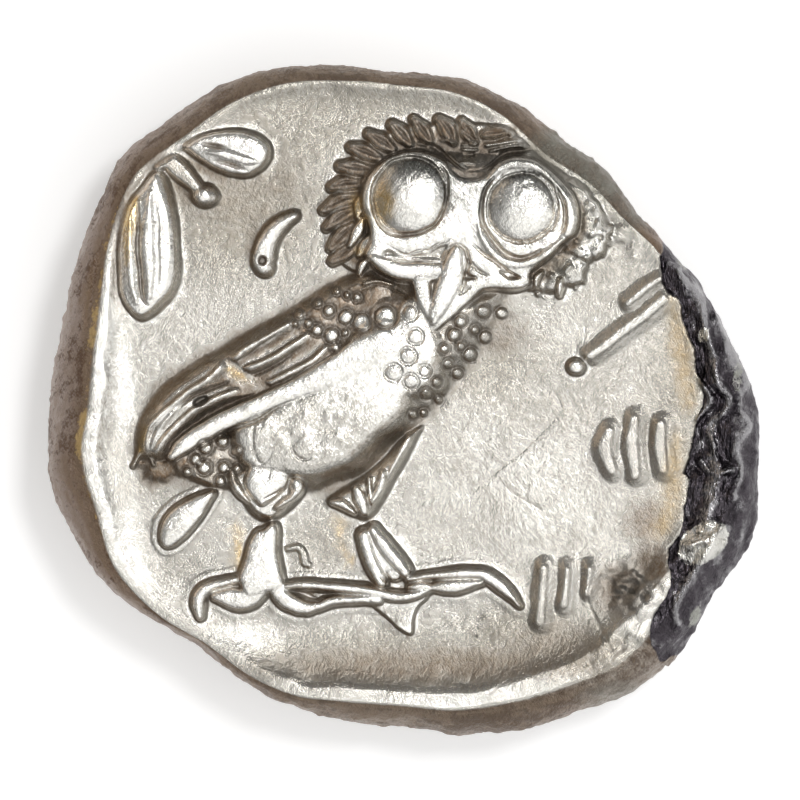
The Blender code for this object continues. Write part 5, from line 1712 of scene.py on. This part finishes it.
class COIN_OT_strike(bpy.types.Operator):
    """Strike both sides and draw the edge out between them"""
    bl_idname = "coin.strike"
    bl_label = "Strike"

    def execute(self, context):
        coin = bpy.data.objects[PIECE]
        u, v, level = read_points(coin.data).T
        angle, share = square_to_disc(u, v)
        edge_radius = around(FLAN_RADII, angle)
        crest_radius = edge_radius - around(CREST_INSETS, angle)
        foot_radius = edge_radius - HEAD_CREST_INSET
        cos, sin = np.cos(angle), np.sin(angle)

        owl = cut_owl_die()
        head = cut_head_die()
        on_edge = np.abs(level) < 1 - TINY
        on_owl = level > 0
        top = crest_radius * share
        foot = foot_radius * share
        top_z = owl.read(owl.height, cos * top, sin * top)
        shape = head.read(head.height, -cos * foot, sin * foot)
        foot_z = np.maximum(HEAD_FIELD_Z + HEAD_FIELD_RISE * share ** 2 - shape, 0)

        turn = np.pi * (1 - level) / 2
        upper = turn < np.pi / 2
        inner_radius = np.where(upper, crest_radius, foot_radius)
        inner_z = np.where(upper, top_z, foot_z)
        edge_r = edge_radii(angle, level, turn, inner_radius, edge_radius,
                            context.scene.coin_flan.edge_wear)
        edge_z = EDGE_Z + (inner_z - EDGE_Z) * np.abs(np.cos(turn))
        radius = np.where(on_edge, edge_r, np.where(on_owl, top, foot))
        z = np.where(on_edge, edge_z, np.where(on_owl, top_z, foot_z))
        x, y = cos * radius, sin * radius

        crust = np.zeros((4, len(x)))
        crust[0] = -1
        near = x > CRUST_REACH
        crust[:, near] = crust_relief(x[near], y[near])
        depth, lumps, bare, folded = crust
        crusted = ease(depth / CRUST_SLOPE + 0.5)
        above = np.where(on_edge, np.clip(np.cos(turn) * 2.5, 0, 1), on_owl)
        write_points(coin.data, np.column_stack((x, y, z + crusted * above * lumps)))

        looks = {"crust": crusted * np.where(on_edge | on_owl, 1, ease(depth)),
                 "bare": bare, "fold": folded, **edge_finish(angle, level, turn, on_edge)}
        below_masks = surface_masks(head, field=0)
        for name, mask in surface_masks(owl, OWL_FIELD_Z).items():
            from_owl = owl.read(mask, x, y)
            struck = np.where(on_owl, from_owl, head.read(below_masks[name], -x, y))
            rest = EDGE_TONE if name == "tone" else 0.0
            if name in SPREADING:
                rest = np.where(upper, from_owl, 0)
            if name == "gray":
                rest = np.maximum(rest, EDGE_GRAY * upper * fouled(angle))
            looks[name] = np.clip(np.where(on_edge, rest, struck), 0, 1)
        for name, values in looks.items():
            store(coin.data, name, values)
        return {"FINISHED"}


class COIN_OT_thin(bpy.types.Operator):
    """Keep only the faces that the relief needs, and put the coin in its place"""
    bl_idname = "coin.thin"
    bl_label = "Thin and place"

    def execute(self, context):
        coin = bpy.data.objects[PIECE]
        context.view_layer.objects.active = coin
        decimate = coin.modifiers.new("Thin", "DECIMATE")
        decimate.use_collapse_triangulate = True
        decimate.ratio = context.scene.coin_flan.triangles / (2 * len(coin.data.polygons))
        bpy.ops.object.modifier_apply(modifier=decimate.name)
        points = read_points(coin.data)
        turn = np.linspace(0, 2 * np.pi, PLAN_STEPS)
        radius = around(FLAN_RADII, turn)
        outline = np.column_stack((np.cos(turn) * radius, np.sin(turn) * radius))
        points[:, :2] -= (outline.min(axis=0) + outline.max(axis=0)) / 2
        points[:, 2] = np.clip(points[:, 2], 0, THICKNESS)
        write_points(coin.data, points * MM)
        coin.data.shade_smooth()
        return {"FINISHED"}


class COIN_OT_finish(bpy.types.Operator):
    """Give the coin its silver, toning and crust"""
    bl_idname = "coin.finish"
    bl_label = "Finish"

    def execute(self, context):
        coin = bpy.data.objects[PIECE]
        coin.data.materials.append(silver_material(context.scene.coin_finish))
        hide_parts("coin")
        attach(coin, "root")
        return {"FINISHED"}


class COIN_OT_stage(bpy.types.Operator):
    """Lay the floor, hang the lights and set the camera straight above"""
    bl_idname = "coin.stage"
    bl_label = "Stage"

    def execute(self, context):
        stage = context.scene.coin_stage
        deselect_all()
        floor = add_floor(stage)
        softbox = hang_light("softbox", stage.softbox_power)
        lamp = hang_light("lamp", stage.lamp_power)
        fill = hang_light("fill", stage.fill_power)
        reflector = hang_light("reflector", stage.reflector_power, stage.reflector_colour)

        world = bpy.data.worlds.new("studio")
        world.use_nodes = True
        sky = world.node_tree.nodes["Background"]
        sky.inputs["Color"].default_value = (1, 1, 1, 1)
        sky.inputs["Strength"].default_value = stage.sky
        context.scene.world = world
        context.scene.view_settings.view_transform = "Standard"
        set_camera(stage)
        return {"FINISHED"}


class COIN_PT_panel(bpy.types.Panel):
    """The steps, in the order in which a coin is made"""
    bl_label = "Coin"
    bl_idname = "COIN_PT_panel"
    bl_space_type = "VIEW_3D"
    bl_region_type = "UI"
    bl_category = "Coin"

    def draw(self, context):
        layout = self.layout
        for step in STEPS:
            layout.operator(step.bl_idname)
        for setting, group in SETTINGS.items():
            box = layout.box()
            for name in group.__annotations__:
                box.prop(getattr(context.scene, setting), name)


STEPS = (COIN_OT_blank, COIN_OT_strike, COIN_OT_thin, COIN_OT_finish, COIN_OT_stage)
SETTINGS = {"coin_flan": FlanSettings, "coin_finish": FinishSettings, "coin_stage": StageSettings}


def register():
    """Makes the operators, the panel and the scene's settings known."""
    for item in (*SETTINGS.values(), *STEPS, COIN_PT_panel):
        bpy.utils.register_class(item)
    for name, group in SETTINGS.items():
        setattr(bpy.types.Scene, name, bpy.props.PointerProperty(type=group))


def unregister():
    """Takes them away again."""
    for name in SETTINGS:
        delattr(bpy.types.Scene, name)
    for item in reversed((*SETTINGS.values(), *STEPS, COIN_PT_panel)):
        bpy.utils.unregister_class(item)


def main():
    """Makes the coin and its stage."""
    register()
    bpy.ops.coin.blank()
    bpy.ops.coin.strike()
    bpy.ops.coin.thin()
    bpy.ops.coin.finish()
    bpy.ops.coin.stage()


if __name__ == "__main__":
    main()
